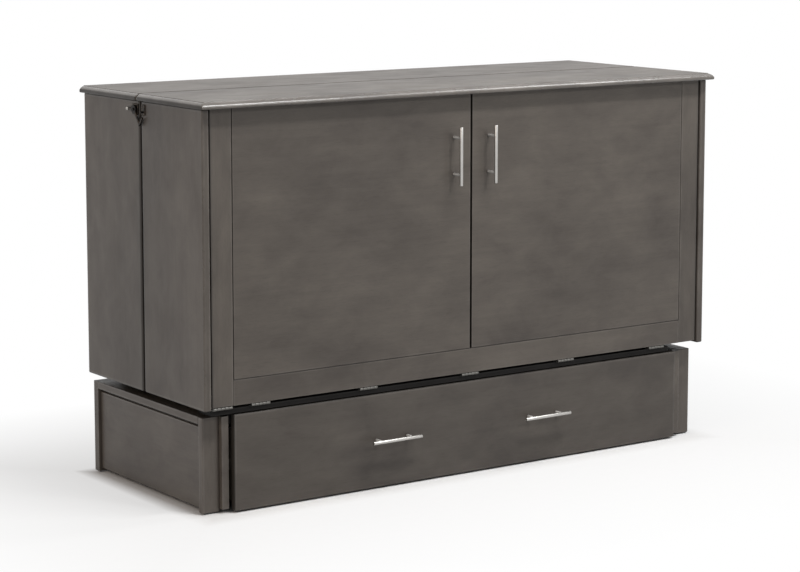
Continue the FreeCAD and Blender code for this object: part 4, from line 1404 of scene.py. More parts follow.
@dataclass
class ButtHinges:
    """Row of butt hinges under the front edge of the face frame.

    The screws are given as shares of a leaf's depth and length.
    """

    shop: Workshop
    knuckle: float = 4 * MM
    knuckle_ease: Profile = ((0, 0.5 * MM), (0.2 * MM, 0.15 * MM), (0.5 * MM, 0))
    pin: float = 2 * MM
    pin_ease: Profile = ((0, 1.1 * MM), (0.3 * MM, 0.4 * MM), (0.8 * MM, 0))
    leaf: float = 2.3 * MM
    leaf_edge: float = 0.5 * MM
    leaf_band: float = 0.8 * MM
    upper_reach: float = 20 * MM
    lower_reach: float = 52 * MM
    knuckles: int = 5
    play: float = 0.2 * MM
    plate_gap: float = 0.6 * MM
    tongue_lap: float = 1 * MM
    tongue_edge: float = 0.4 * MM
    tongue_band: float = 0.5 * MM
    screw: float = 2.6 * MM
    screw_lift: float = 0.5 * MM
    upper_screws: Sequence[Span] = ((0.62, 0.18), (0.62, 0.82))
    lower_screws: Sequence[Span] = (
        (0.3, 0.32),
        (0.3, 0.68),
        (0.78, 0.18),
        (0.78, 0.82),
    )

    def leaf_parts(
        self, box: tuple[Floats, Floats], axis_at: Floats, upper: bool
    ) -> list[Surface]:
        """Plate, knuckles, tongues and screws of one leaf.

        Args:
            box: Corners of the CAD leaf.
            axis_at: Point on the hinge's axis.
            upper: Whether this is the upper leaf.

        Returns:
            The leaf's surfaces.
        """
        left, right = box[0][0], box[1][0]
        level = box[1][2] if upper else axis_at[2] - self.knuckle
        flat = (level - self.leaf, level) if upper else (level, level + self.leaf)
        start = axis_at[1] + self.knuckle + self.plate_gap
        end = axis_at[1] + (self.upper_reach if upper else self.lower_reach)
        plate = (left, start, flat[0]), (right, end, flat[1])
        parts = [rounded_box(*plate, self.leaf_edge, self.leaf_band)]
        width = (right - left) / self.knuckles
        span = width - 2 * self.play
        barrel = rod(span, self.knuckle, self.knuckle_ease)
        for turn in range(int(upper), self.knuckles, 2):
            low = left + turn * width + self.play
            tongue = (
                (low, axis_at[1], flat[0]),
                (low + span, start + self.tongue_lap, flat[1]),
            )
            parts += [
                turned(barrel, Axis.X, (low, axis_at[1], axis_at[2]), 24),
                rounded_box(*tongue, self.tongue_edge, self.tongue_band),
            ]
        facing, seat = (-1, flat[0]) if upper else (1, flat[1])
        for deep, wide in self.upper_screws if upper else self.lower_screws:
            at = (left + wide * (right - left), start + deep * (end - start), seat)
            parts.append(screw_head(at, Axis.Z, facing, self.screw, self.screw_lift))
        return parts

    def build(self) -> None:
        """Build the leaves and pins of every hinge."""
        pins = loose_solids("hinge_pins")
        axis_at = (pins[0][0] + pins[0][1]) / 2
        for kind in ("upper", "lower"):
            node, upper = f"hinge_{kind}_leaves", kind == "upper"
            parts: list[Surface] = []
            for box in loose_solids(node):
                parts += self.shop.alike(self.leaf_parts(box, axis_at, upper))
            self.shop.piece(node, "metal", parts, "hinge_steel", "zinc")
        rods = []
        for low, high in pins:
            shape = rod(high[0] - low[0], self.pin, self.pin_ease)
            rods.append(turned(shape, Axis.X, (low[0], axis_at[1], axis_at[2]), 20))
        self.shop.piece("hinge_pins", "metal", rods, "hinge_steel", "zinc")


@dataclass
class LeverLatches:
    """Lever latch at the top of each side: plates, keepers and levers.

    Tapers go from the pivot outwards.  The hook's tip is a share of its width,
    its taper and the place of the web are shares of its sweep.  The other
    tapers are shares of the arm's width and of the lever's thickness.
    """

    shop: Workshop
    plate: float = 3 * MM
    plate_height: float = 28 * MM
    plate_length: float = 30 * MM
    plate_corner: float = 3 * MM
    plate_bevel: float = 0.5 * MM
    keeper_length: float = 18 * MM
    pin_ease: float = 0.6 * MM
    pivot_radius: float = 3 * MM
    keeper_radius: float = 2.5 * MM
    keeper_drop: float = 5 * MM
    screw: float = 2.4 * MM
    screw_lift: float = 0.3 * MM
    screw_sink: float = 0.1 * MM
    screw_inset: float = 4.5 * MM
    screw_share: float = 0.34
    keeper_screw_rise: float = 9.5 * MM
    pivot_screw: float = 4.6 * MM
    pivot_screw_lift: float = 1.2 * MM
    pivot_head: float = 1.6 * MM
    hub_radius: float = 11 * MM
    hub_ease: Profile = ((0, 0.8 * MM), (0.3 * MM, 0.3 * MM), (0.8 * MM, 0))
    lever: float = 5 * MM
    arm_length: float = 32 * MM
    arm_width: float = 7 * MM
    arm_root: float = 0.5
    arm_taper: Span = (1.1, 0.72)
    arm_thinning: Span = (0.98, 0.86)
    ball_radius: float = 5.4 * MM
    ball_cut: float = 0.06
    ball_stations: int = 17
    hook_width: float = 6 * MM
    hook_start: float = 203.0
    hook_sweep: float = 34.0
    hook_clearance: float = 0.6 * MM
    hook_tip: float = 0.35
    hook_taper: float = 0.25
    hook_thickness: float = 0.98
    web_root: float = 0.6
    web_lap: float = 0.6
    web_at: float = 0.875
    web_taper: Span = (1.25, 0.85)
    web_thickness: float = 0.96
    hook_stations: int = 15
    arm_stations: int = 9
    bar_corner: float = 0.28
    bar_wear: float = 0.6

    def plates(self, node: str, length: float, pin: float, drop: float) -> None:
        """Plate with a pin and two screws on each side of the bed.

        The screws lie nearly flush, so that the lever passes over them.  They
        stand above and below the pin where it is dropped, else askew.

        Args:
            node: The CAD node of both plates.
            length: Length of a plate.
            pin: Radius of its pin.
            drop: How far the pin lies under the plate's middle.
        """
        parts = []
        for low, high in loose_solids(node):
            side = 1 if low[0] > 0 else -1
            face, tip = (low[0], high[0])[::side]
            middle = (low + high) / 2
            flat = rounded_outline(length, self.plate_height, self.plate_corner)
            ends = sorted((face, face + side * self.plate))
            parts.append(drawn(flat + middle[1:], Axis.X, *ends, self.plate_bevel))
            ease = [(0, self.pin_ease), (self.pin_ease, 0)]
            at = (min(face, tip), middle[1], middle[2] - drop)
            parts.append(turned(rod(abs(tip - face), pin, ease), Axis.X, at, 24))
            seat = face + side * (self.plate - self.screw_sink)
            away = length / 2 - self.screw_inset
            up = self.screw_share * self.plate_height
            if drop:
                away, up = 0.0, self.keeper_screw_rise
            for turn in (-1, 1):
                at = (seat, middle[1] - turn * away, middle[2] + turn * up)
                parts.append(screw_head(at, Axis.X, side, self.screw, self.screw_lift))
        self.shop.piece(node, "metal", parts, "dark_bronze", "bronze")

    def band(
        self, radii: Floats, angles: Floats, wide: Floats, thick: Floats
    ) -> Surface:
        """Bar of rounded section that follows points given by radius and angle.

        At each station the section is a rounded rectangle, wide in the plane
        of the lever, square to the line through the stations, and thick in X.

        Args:
            radii: Distance of each station from the pivot.
            angles: Angle of each station.
            wide: Width at each station.
            thick: Thickness at each station.

        Returns:
            The bar, about the pivot.
        """
        line = np.stack([radii * np.cos(angles), radii * np.sin(angles)], -1)
        ahead = np.gradient(line, axis=0)
        ahead /= np.linalg.norm(ahead, axis=1, keepdims=True)
        side = np.stack([-ahead[:, 1], ahead[:, 0]], -1)
        section = rounded_outline(1.0, 1.0, self.bar_corner, 4)
        spread = section[:, 0][None, :, None] * wide[:, None, None] * side[:, None, :]
        flat = line[:, None, :] + spread
        depth = section[:, 1] * thick[:, None]
        rings = laid_out(Axis.X, depth, flat[..., 0], flat[..., 1])
        return stacked(rings, edge=np.full(len(line), self.bar_wear))

    def hook(self, reach: float) -> list[Surface]:
        """Crescent that passes round the keeper's pin, and the web to its end.

        Args:
            reach: Distance from the pivot to the keeper's pin.

        Returns:
            Crescent and web, about the pivot.
        """
        inner = reach + self.keeper_radius + self.hook_clearance
        begin, sweep = math.radians(self.hook_start), math.radians(self.hook_sweep)
        share = np.linspace(0, 1, self.hook_stations)
        widening = np.sqrt(np.clip(share / self.hook_taper, 0, 1))
        width = self.hook_width * (self.hook_tip + (1 - self.hook_tip) * widening)
        path = inner + self.hook_width / 2 + (self.hook_width - width) / 4
        count = self.arm_stations
        root, end = self.hub_radius * self.web_root, self.hook_width * self.web_lap
        out = np.linspace(root, inner + end, count)
        web_angle = np.full(count, begin + sweep * self.web_at)
        slim = self.arm_width * np.linspace(*self.web_taper, count)
        crescent_thick = np.full(len(share), self.lever * self.hook_thickness)
        web_thick = np.full(count, self.lever * self.web_thickness)
        return [
            self.band(path, begin + sweep * share, width, crescent_thick),
            self.band(out, web_angle, slim, web_thick),
        ]

    def lever_parts(self, reach: float) -> list[Surface]:
        """Hook, arm, hub and ball of a lever.

        Args:
            reach: Distance from the pivot to the keeper's pin.

        Returns:
            The surfaces, about the pivot.
        """
        count = self.arm_stations
        arm = self.band(
            np.linspace(self.hub_radius * self.arm_root, self.arm_length, count),
            np.zeros(count),
            self.arm_width * np.linspace(*self.arm_taper, count),
            self.lever * np.linspace(*self.arm_thinning, count),
        )
        rim = rod(self.lever, self.hub_radius, self.hub_ease)
        hub = turned(rim, Axis.X, (-self.lever / 2, 0, 0), 40)
        cut = self.ball_cut
        turn = np.linspace(cut, math.pi - cut, self.ball_stations)
        ball = np.stack([-np.cos(turn), np.sin(turn)], -1) * self.ball_radius
        knob = turned(ball, Axis.X, (0, self.arm_length, 0), 28)
        return [*self.hook(reach), arm, hub, replace(knob, finish=1)]

    def build(self) -> None:
        """Build plates, keepers and levers."""
        self.plates("latch_plates", self.plate_length, self.pivot_radius, 0.0)
        self.plates(
            "latch_keepers", self.keeper_length, self.keeper_radius, self.keeper_drop
        )
        keeper_y = sum(loose_solids("latch_keepers")[0])[1] / 2
        for hand, box in zip(Hand, loose_solids("latch_plates")):
            node = f"latch_lever_{hand.word}"
            at = (box[0] + box[1]) / 2
            at[0] = sum(node_box(node))[0] / 2
            reach = math.hypot(at[1] - keeper_y, self.keeper_drop)
            parts = [part.moved(at) for part in self.lever_parts(reach)]
            seat = at + [hand.value * (self.lever / 2 + self.pivot_head), 0, 0]
            screw = (self.pivot_screw, self.pivot_screw_lift)
            parts.append(screw_head(seat, Axis.X, hand.value, *screw))
            parts = self.shop.apart(parts)
            self.shop.piece(node, "metal", parts, "dark_bronze", "bronze", "zinc_deep")


@dataclass
class Wheels:
    """Four wheels with rubber tyres on plastic hubs, their axles and glides."""

    shop: Workshop
    bore: float = 4.05 * MM
    tyre_depth: float = 5 * MM
    tread: float = 2.5 * MM
    groove: float = 0.6 * MM
    hub_share: float = 0.86
    boss_share: float = 0.96
    web_share: float = 0.45
    boss_wall: float = 2.8 * MM
    boss_foot: float = 3.4 * MM
    rim_foot: float = 2.4 * MM
    rim_wall: float = 1.6 * MM
    axle_ease: float = 0.6 * MM
    glide_ease: Profile = ((0, 1.6 * MM), (0.5 * MM, 0.6 * MM), (1.4 * MM, 0))

    def build(self) -> None:
        """Turn tyres, hubs, axles and the glides under the rear legs."""
        for end in ("front", "rear"):
            for hand in Hand:
                self.wheel(f"wheel_{end}_{hand.word}")
        axles = []
        ease = [(0, self.axle_ease), (self.axle_ease, 0)]
        for low, high in loose_solids("wheel_axles"):
            shape = rod(high[0] - low[0], (high[2] - low[2]) / 2, ease)
            middle = (low + high) / 2
            axles.append(turned(shape, Axis.X, (low[0], middle[1], middle[2]), 24))
        self.shop.piece("wheel_axles", "metal", axles, "hinge_steel", "zinc_deep")
        pads = []
        for low, high in loose_solids("leg_glides"):
            size = (high[0] - low[0]) / 2
            shape = [(away, size - less) for away, less in self.glide_ease]
            shape.append((high[2] - low[2], size))
            middle = (low + high) / 2
            pads.append(turned(shape, Axis.Z, (middle[0], middle[1], low[2])))
        self.shop.piece("leg_glides", "pads", pads, "glide_plastic", "glide_plastic")

    def wheel(self, node: str) -> None:
        """One wheel: a tyre and a hub as two closed rings round the bore.

        Args:
            node: The CAD node of the wheel.
        """
        low, high = node_box(node)
        middle = (low + high) / 2
        wide, size = (high[0] - low[0]) / 2, (high[2] - low[2]) / 2
        rim = size - self.tyre_depth
        turn = np.linspace(0, math.pi / 2, 6)
        bend, cut = self.tread, self.groove
        round_part = bend * np.stack([np.cos(turn), np.sin(turn)], -1)
        right = round_part + [wide - bend, size - bend]
        left = right[::-1] * [-1, 1]
        groove = [(cut, size), (0, size - cut), (-cut, size)]
        tyre = np.concatenate([[(wide, rim)], right, groove, left, [(-wide, rim)]])
        half_hub = [
            (self.boss_share * wide, self.bore),
            (self.boss_share * wide, self.bore + self.boss_wall),
            (self.web_share * wide, self.bore + self.boss_foot),
            (self.web_share * wide, rim - self.rim_foot),
            (self.hub_share * wide, rim - self.rim_wall),
            (self.hub_share * wide, rim),
        ]
        hub = [*half_hub, *[(-away, radius) for away, radius in reversed(half_hub)]]
        rubber = turned(tyre[::-1], Axis.X, middle, 48, hollow=True)
        plastic = turned(hub[::-1], Axis.X, middle, 48, hollow=True)
        parts = [rubber, replace(plastic, finish=1, smooth=False)]
        self.shop.piece(node, "tyre", parts, "wheel_rubber", "rubber", "hub_plastic")


@dataclass
class DrawerRunners:
    """Three-part runners: two folded channels and a flat member between."""

    shop: Workshop
    sheet: float = 1.3 * MM
    lip: float = 3 * MM
    member_edge: float = 1.2 * MM
    member_band: float = 0.8 * MM
    front_setback: float = 22 * MM

    def channel(self, low: Floats, high: Floats, opens: int) -> Surface:
        """Channel of folded sheet, drawn along Y.

        Args:
            low: Lowest corner.
            high: Highest corner.
            opens: 1 where its open side looks to +X, else -1.

        Returns:
            The channel.
        """
        wide, tall = high[0] - low[0], high[2] - low[2]
        sheet, lip = self.sheet, self.lip + self.sheet
        lower = [(0, 0), (wide, 0), (wide, lip), (wide - sheet, lip)]
        lower += [(wide - sheet, sheet), (sheet, sheet)]
        upper = [(x, tall - z) for x, z in reversed(lower)]
        shape = np.array([*lower, *upper])
        if opens < 0:
            shape = shape[::-1] * [-1, 1] + [wide, 0]
        ends = np.array([[high[1]], [low[1]]])
        rings = laid_out(Axis.Y, ends, low[2] + shape[:, 1], low[0] + shape[:, 0])
        return replace(stacked(rings), smooth=False)

    def build(self) -> None:
        """Build the three members on both sides."""
        for kind, turn in (("outer", -1), ("middle", 0), ("inner", 1)):
            node = f"drawer_runner_{kind}"
            parts = []
            for low, high in loose_solids(node):
                low[1] += self.front_setback
                if turn:
                    opens = turn if low[0] > 0 else -turn
                    parts += self.shop.alike([self.channel(low, high, opens)])
                else:
                    edge = (self.member_edge, self.member_band)
                    parts.append(rounded_box(low, high, *edge))
            self.shop.piece(node, "metal", parts, "hinge_steel", "zinc_deep")


# Stage -----------------------------------------------------------------------


@dataclass(frozen=True)
class Lamp:
    """Soft rectangular lamp that looks at a point."""

    name: str
    at: Point
    towards: Point
    size: Span
    watts: float
    colour: Colour = WHITE

    def hang(self) -> None:
        """Add the lamp, its face turned to the point."""
        data = bpy.data.lights.new(self.name, "AREA")
        data.shape = "RECTANGLE"
        data.size, data.size_y = self.size
        data.energy = self.watts
        data.color = self.colour
        aim = np.array(self.towards) - np.array(self.at)
        aim = aim / np.linalg.norm(aim)
        heading = math.atan2(aim[1], aim[0]) - math.pi / 2
        thing = added(self.name, data)
        thing.location = self.at
        thing.rotation_euler = (math.acos(-aim[2]), 0, heading)


BED_MIDDLE: Point = (0.0, 0.0, 0.55)
LAMPS = (
    Lamp("key", (1.2, -4.2, 3.0), BED_MIDDLE, (0.6, 0.6), 39),
    Lamp("overhead", (0.5, -1.8, 4.0), (0.5, -0.3, 1.0), (1.8, 0.35), 88),
    Lamp("fill", (-5.0, -0.9, 3.0), BED_MIDDLE, (2.4, 2.0), 62, (1.0, 0.85, 0.74)),
    Lamp("edge_light", (2.7, -0.8, 4.0), (0.3, -0.3, 1.0), (0.7, 1.4), 40),
)


@dataclass
class Studio:
    """Pale floor, white backdrop, soft lamps and the camera."""

    camera_at: Point = (-3.711, -5.266, 1.534)
    turn: float = -34.96
    pitch: float = 7.5
    lens: float = 107.88
    sensor: float = 36.0
    lift: float = -0.10
    far_clip: float = 60.0
    ambient: float = 0.2
    floor_half: float = 9.0
    floor_low: Colour = (0.88, 0.88, 0.877)
    floor_high: Colour = (0.91, 0.91, 0.907)
    floor_bounce: Colour = (0.1, 0.1, 0.1)
    floor_bounce_share: float = 0.6
    floor_speck: Layer = Layer(40, 40, 3, 0.6)
    footprint: Span = (0.8, 0.3)
    near_fade: float = 0.05
    far_fade: float = 0.8
    near_white: float = 0.6

    def camera(self) -> None:
        """Camera at the photograph's viewing angle."""
        data = bpy.data.cameras.new("camera")
        data.lens = self.lens
        data.sensor_width = self.sensor
        data.shift_y = self.lift
        data.clip_end = self.far_clip
        thing = added("camera", data)
        thing.location = self.camera_at
        tilt = math.radians(90 - self.pitch)
        thing.rotation_euler = (tilt, 0, math.radians(self.turn))
        bpy.context.scene.camera = thing

    def world(self) -> None:
        """White to the camera and in reflections, softer as a light."""
        world = bpy.data.worlds.new("studio")
        bpy.context.scene.world = world
        world.use_nodes = True
        tree = Wiring(world.node_tree)
        path = tree.add("ShaderNodeLightPath").outputs
        seen = tree.math("MAXIMUM", path["Is Glossy Ray"], path["Is Transmission Ray"])
        seen = tree.math("MAXIMUM", path["Is Camera Ray"], seen)
        strength = tree.ramp(seen, target=(self.ambient, 1.0))
        feeds = {"Color": WHITE, "Strength": strength}
        background = tree.add("ShaderNodeBackground", feeds)
        tree.add("ShaderNodeOutputWorld", {"Surface": background.outputs[0]})

    def floor_finish(self) -> bpy.types.Material:
        """Pale floor that fades to white away from the bed.

        The share of white grows with the distance outside the bed's footprint,
        the larger of |x| less its half width and |y| less its half depth.  The
        floor throws little light back at the bed.

        Returns:
            The floor's material.
        """
        tree = Finish("pale_floor")
        speck = tree.ramp(tree.noise(self.floor_speck), NOISE_RANGE)
        colour = tree.mix(speck, self.floor_low, self.floor_high)
        path = tree.add("ShaderNodeLightPath").outputs
        bounce = tree.times(path["Is Diffuse Ray"], self.floor_bounce_share)
        colour = tree.mix(bounce, colour, self.floor_bounce)
        tree.made({"Base Color": colour, "Roughness": 0.9, "Specular IOR Level": 0.1})
        gap: Any = 0.0
        for place, half in zip(tree.split(), self.footprint):
            outside = tree.math("SUBTRACT", tree.math("ABSOLUTE", place), half)
            gap = tree.math("MAXIMUM", outside, gap)
        near = tree.ramp(gap, (0.0, self.near_fade), (0.0, self.near_white))
        away = (self.near_fade, self.far_fade)
        white = tree.math("ADD", near, tree.ramp(gap, away, (0, 1 - self.near_white)))
        seen = tree.math("MAXIMUM", path["Is Camera Ray"], path["Is Glossy Ray"])
        glow = tree.add("ShaderNodeEmission", {"Color": WHITE, "Strength": 1.0})
        shaders = {1: tree.shader.outputs[0], 2: glow.outputs[0]}
        blend = tree.add("ShaderNodeMixShader", {0: tree.times(white, seen), **shaders})
        tree.feed(tree.output.inputs["Surface"], blend.outputs[0])
        return tree.material

    def floor(self) -> None:
        """Square of floor under the bed."""
        points = self.floor_half * np.array(
            [(-1, -1, 0), (1, -1, 0), (1, 1, 0), (-1, 1, 0)]
        )
        mesh = bpy.data.meshes.new("floor")
        mesh.from_pydata(points.tolist(), [], [(0, 1, 2, 3)])
        mesh.materials.append(self.floor_finish())
        added("floor", mesh)

    def build(self) -> None:
        """Set the stage."""
        self.camera()
        self.world()
        self.floor()
        for lamp in LAMPS:
            lamp.hang()
        bpy.context.scene.view_settings.view_transform = "Standard"


# Sub-assemblies --------------------------------------------------------------


@dataclass
class UpperCabinet:
    """Both halves of the cabinet above the base."""

    shop: Workshop
    edge: float = 4.5 * MM
    seam_reach: float = 2.4
    stile_reach: float = 2.0
    door_edge: float = 0.6 * MM
    tongue_edge: float = 0.3 * MM
    lap: float = 2 * MM
    groove: float = 2.4 * MM
    side_groove: float = 1.8 * MM
    foot_groove: float = 1.8 * MM

    def door(self, hand: Hand) -> None:
        """False door, with thin tongues that close its grooves from behind.

        Args:
            hand: Which door.
        """
        node = f"false_door_{hand.word}"
        low, high = node_box(node)
        stile_low, stile_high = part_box(f"corner_stile_{hand.word}")
        rail_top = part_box("bottom_rail")[1][2]
        low[2] = rail_top + self.foot_groove
        if hand is Hand.LEFT:
            low[0] = stile_high[0] + self.side_groove
            side_gap = (stile_high[0], low[0])
        else:
            high[0] = stile_low[0] - self.side_groove
            side_gap = (high[0], stile_low[0])
        lap = self.lap
        front, back = low[1] + self.groove, high[1] - lap
        beside = (
            (side_gap[0] - lap, front, rail_top),
            (side_gap[1] + lap, back, high[2]),
        )
        under = (low[0], front, rail_top), (high[0], back, low[2] + lap)
        boards = [
            rounded_box(low, high, self.door_edge).sawn(Grain.ACROSS, self.door_edge),
            rounded_box(*beside, self.tongue_edge),
            rounded_box(*under, self.tongue_edge),
        ]
        parts = self.shop.alike(boards)
        self.shop.piece(node, "wood", parts, "stained_wood", "stain_across")

    def build(self) -> None:
        """Tops, sides, face frame, back and battens, then the handles."""
        MouldedTop(self.shop, "rear_top", False).build()
        MouldedTop(self.shop, "front_top", True).build()
        side = (Grain.UPRIGHT, Wood.STAIN, self.edge)
        stile = (Grain.UPRIGHT, Wood.STAIN, self.edge / 3)
        plans = []
        for hand in Hand:
            word, outer = hand.word, (Axis.X, hand.value)
            plans += [
                # Seam edges of the sides and outer edges of the corner stiles get
                # painted shade.
                BoardPlan(f"rear_side_{word}", *side, (Axis.Y, -1), self.seam_reach),
                BoardPlan(f"front_side_{word}", *side, (Axis.Y, 1), self.seam_reach),
                BoardPlan(f"corner_stile_{word}", *stile, outer, self.stile_reach),
            ]
            self.door(hand)
        # The rail's top edge gets painted shade in the groove under the doors.
        rail = (Wood.STAIN, self.door_edge, (Axis.Z, 1))
        plans += [
            BoardPlan("bottom_rail", Grain.ACROSS, *rail),
            BoardPlan("back_panel", Grain.ACROSS, Wood.BOARD),
            BoardPlan("face_battens", Grain.ACROSS, Wood.BOARD),
            BoardPlan("rear_legs", Grain.UPRIGHT, Wood.BOARD),
            BoardPlan("leg_rail", Grain.ACROSS, Wood.BOARD),
            BoardPlan("ledge_cleats", Grain.DEEP, Wood.PINE),
            BoardPlan("head_ledge_slats", Grain.ACROSS, Wood.PINE),
        ]
        Joinery(self.shop, plans).build()
        for hand in Hand:
            BarHandle(self.shop, f"door_handle_{hand.word}", Axis.Z).build()


@dataclass
class BaseUnit:
    """Rolling base: stiles, rims, panels, guides, rails and all slats."""

    shop: Workshop
    edge: float = 2.5 * MM
    slat_edge: float = 2 * MM
    neck_edge: float = 0.5 * MM
    groove_height: float = 9 * MM
    groove_depth: float = 7 * MM
    # Top side of base stiles, rims and guides, which gets painted shade under the body.
    top: tuple[Axis, int] = (Axis.Z, 1)

    def panel(self, hand: Hand) -> None:
        """Side panel with a shadow groove along its top edge.

        The groove's floor is painted dark all over, a painted shade in the groove.

        Args:
            hand: Which side.
        """
        node = f"base_side_panel_{hand.word}"
        low, high = node_box(node)
        main_high, neck_low, neck_high = high.copy(), low.copy(), high.copy()
        main_high[2] -= self.groove_height
        neck_low[2] = main_high[2] - self.edge
        if hand is Hand.LEFT:
            neck_low[0] += self.groove_depth
        else:
            neck_high[0] -= self.groove_depth
        boards = [
            rounded_box(low, main_high, self.edge / 2).sawn(Grain.DEEP, self.edge),
            # The neck is marked as end grain all over, which paints shade in the
            # groove.
            rounded_box(neck_low, neck_high, self.neck_edge).sawn(Grain.UPRIGHT, 1),
        ]
        parts = self.shop.alike(boards)
        self.shop.piece(node, "wood", parts, "stained_wood", "stain_deep")

    def build(self) -> None:
        """Panels, then a board for each solid of the other nodes."""
        # Base stiles and drawer guides take the lighter stain, painted light on parts
        # in shade.
        stile = (Grain.UPRIGHT, Wood.PALE, self.edge, self.top)
        rim = (Wood.STAIN, self.edge / 2, self.top)
        plans = []
        for hand in Hand:
            guide = BoardPlan(f"drawer_guide_{hand.word}", Grain.DEEP, Wood.PALE)
            plans += [
                BoardPlan(f"base_front_stile_{hand.word}", *stile),
                replace(guide, dark_side=self.top, sealed=True),
            ]
            self.panel(hand)
        plans += [
            BoardPlan("base_rear_stiles", Grain.UPRIGHT, *rim),
            BoardPlan("base_rims", Grain.DEEP, *rim),
            # Front rail and hinge batten are stained near black, a painted shadow in
            # the gap.
            BoardPlan("front_rail", Grain.ACROSS, Wood.DARK),
            BoardPlan("hinge_batten", Grain.ACROSS, Wood.DARK),
            BoardPlan("cross_rails", Grain.ACROSS, Wood.BOARD),
            BoardPlan("deck_bearers", Grain.DEEP, Wood.PINE),
        ]
        for node in ("base_deck_slats", "upper_sliding_deck", "lower_sliding_deck"):
            plans.append(BoardPlan(node, Grain.ACROSS, Wood.PINE, self.slat_edge))
        Joinery(self.shop, plans).build()


@dataclass
class Drawer:
    """Wide drawer with its box, runners and handles."""

    shop: Workshop
    edge: float = 2.5 * MM

    def build(self) -> None:
        """Front, box, runners and handles."""
        # The drawer front takes the darker stain: painted shade low on the bed.
        front = (Wood.LOWER, self.edge, (Axis.Z, 1))
        plans = [
            # The front's top edge gets painted shade, where it meets the gap under the
            # body.
            BoardPlan("drawer_front", Grain.ACROSS, *front),
            BoardPlan("drawer_side_left", Grain.DEEP, Wood.BOARD),
            BoardPlan("drawer_side_right", Grain.DEEP, Wood.BOARD),
            BoardPlan("drawer_back", Grain.ACROSS, Wood.BOARD),
            BoardPlan("drawer_bottom", Grain.ACROSS, Wood.BOARD),
        ]
        Joinery(self.shop, plans).build()
        DrawerRunners(self.shop).build()
        for hand in Hand:
            BarHandle(self.shop, f"drawer_handle_{hand.word}", Axis.X).build()


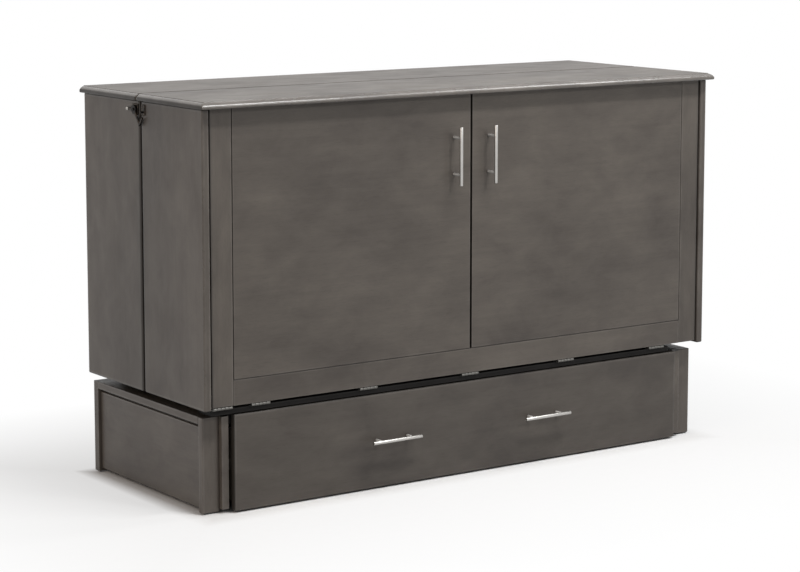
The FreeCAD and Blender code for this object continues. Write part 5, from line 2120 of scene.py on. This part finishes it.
@dataclass
class FoldedMattress:
    """Three sections of a folding mattress, standing side by side."""

    shop: Workshop
    spacing: float = 14 * MM
    radius: float = 27 * MM
    rounding: tuple[float, ...] = (45.0, 36.0, 27.0, 18.0, 9.0)
    crown: float = 9 * MM
    crown_power: int = 4
    end_pull: float = 0.3
    end_gap: float = 1.5 * MM
    channel: float = 3.2 * MM
    channel_reach: float = 6 * MM
    channel_pitch: float = 0.1
    channel_fade: float = 3.0
    piping: float = 3.2 * MM
    piping_corner: float = 0.9
    piping_rise: float = 0.6
    piping_step: float = 0.05
    piping_sides: int = 8

    def lines(self, low: float, high: float) -> Floats:
        """Lattice lines of one axis: the rounding's, and even ones between.

        Args:
            low: Lower end of the section on this axis.
            high: Upper end.

        Returns:
            The lines, rising.
        """
        bend = self.radius
        lean = leaning(bend, self.rounding)
        count = max(2, int(round((high - low - 2 * bend) / self.spacing)))
        inner = np.linspace(low + bend, high - bend, count + 1)
        return np.concatenate([low + lean, inner, (high - lean)[::-1]])

    def section(self, low: Floats, high: Floats) -> Surface:
        """One section: rounded, its broad faces crowned and quilted.

        With u and v from -1 to 1 across and up a broad face, the face swells
        by the crown times (1 - u^4)(1 - v^4), and sinks by the channel depth
        times exp(-(d / reach)^2) at a distance d from the nearest sewn line.
        Sewn lines run both ways at 45 degrees.  The narrow sides pull in
        between their ends.

        Args:
            low: Lowest corner.
            high: Highest corner.

        Returns:
            The section.
        """
        lines = [self.lines(start, end) for start, end in zip(low, high)]
        skin, away, quads, _ = rounded_skin(lines, low, high, self.radius)
        middle, half = (low + high) / 2, (high - low) / 2
        share = (skin - middle) / half
        broad = np.abs(away[:, 1]) ** 2
        swell = (1 - share[:, 0] ** self.crown_power) * (
            1 - share[:, 2] ** self.crown_power
        )
        pitch = self.channel_pitch
        sunk = np.zeros(len(skin))
        for slope in (1.0, -1.0):
            line = (skin[:, 0] + slope * (skin[:, 2] - middle[2])) / math.sqrt(2)
            gap = np.abs((line / pitch + 0.5) % 1 - 0.5) * pitch
            sunk = np.maximum(sunk, np.exp(-((gap / self.channel_reach) ** 2)))
        fade = np.clip(swell * self.channel_fade, 0, 1)
        depth = self.crown * (swell - 1) - self.channel * sunk * fade
        skin[:, 1] += np.sign(away[:, 1]) * broad * depth
        pull = self.crown * self.end_pull * (share[:, 2] ** 2 - 1) - self.end_gap
        skin[:, 0] += np.sign(away[:, 0]) * np.abs(away[:, 0]) ** 2 * pull
        # The edge values mark the channels, where the cover paints shade.
        return Surface(skin, quads, edge=np.clip(sunk * broad, 0, 1))

    def rim(self, low: Floats, high: Floats, back: bool) -> Surface:
        """Piping round one broad face: a thin tube along a rounded rectangle.

        Args:
            low: Lowest corner of the section.
            high: Highest corner.
            back: Whether it goes round the rear face.

        Returns:
            The piping.
        """
        inset = self.radius * (1 - math.sqrt(0.5))
        wide, _, tall = high - low - 2 * inset
        line = rounded_outline(wide, tall, self.radius * self.piping_corner, 9)
        steps = []
        for first, second in zip(line, np.roll(line, -1, 0)):
            count = max(1, int(np.linalg.norm(second - first) / self.piping_step))
            share = np.linspace(0, 1, count, False)[:, None]
            steps.append(first + (second - first) * share)
        path = np.concatenate(steps)
        ahead = np.roll(path, -1, 0) - np.roll(path, 1, 0)
        ahead /= np.linalg.norm(ahead, axis=1, keepdims=True)
        out = np.stack([ahead[:, 1], -ahead[:, 0]], -1)
        turn = full_turn(self.piping_sides)
        sway = np.cos(turn)[None, :, None] * out[:, None, :] * self.piping
        flat = path[:, None, :] + sway
        depth = np.sin(turn) * self.piping
        rings = laid_out(Axis.Y, depth, flat[..., 1], flat[..., 0])
        inward = inset + self.piping_rise * self.crown
        centre = (low + high) / 2
        centre[1] = high[1] - inward if back else low[1] + inward
        return replace(stacked(rings + centre, closed=True), finish=1)

    def build(self) -> None:
        for place in ("front", "middle", "rear"):
            node = f"mattress_{place}"
            box = node_box(node)
            parts = [self.section(*box), self.rim(*box, False), self.rim(*box, True)]
            finishes = ("knit", "piping")
            thing = self.shop.piece(node, "cushion", parts, "mattress_cover", *finishes)


def corners(box: Sequence[Any]) -> list[list[float]]:
    """A box as plain lists of numbers.

    Args:
        box: Lowest and highest corner.

    Returns:
        The same corners.
    """
    return [[float(number) for number in corner] for corner in box]


def main() -> None:
    """Build the bed's looks and the studio round it."""
    logging.basicConfig(level=logging.INFO, format="%(name)s: %(message)s")
    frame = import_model()
    shop = Workshop(frame["record"])
    UpperCabinet(shop).build()
    BaseUnit(shop).build()
    Drawer(shop).build()
    ButtHinges(shop).build()
    LeverLatches(shop).build()
    Wheels(shop).build()
    FoldedMattress(shop).build()
    Studio().build()


if __name__ == "__main__":
    main()
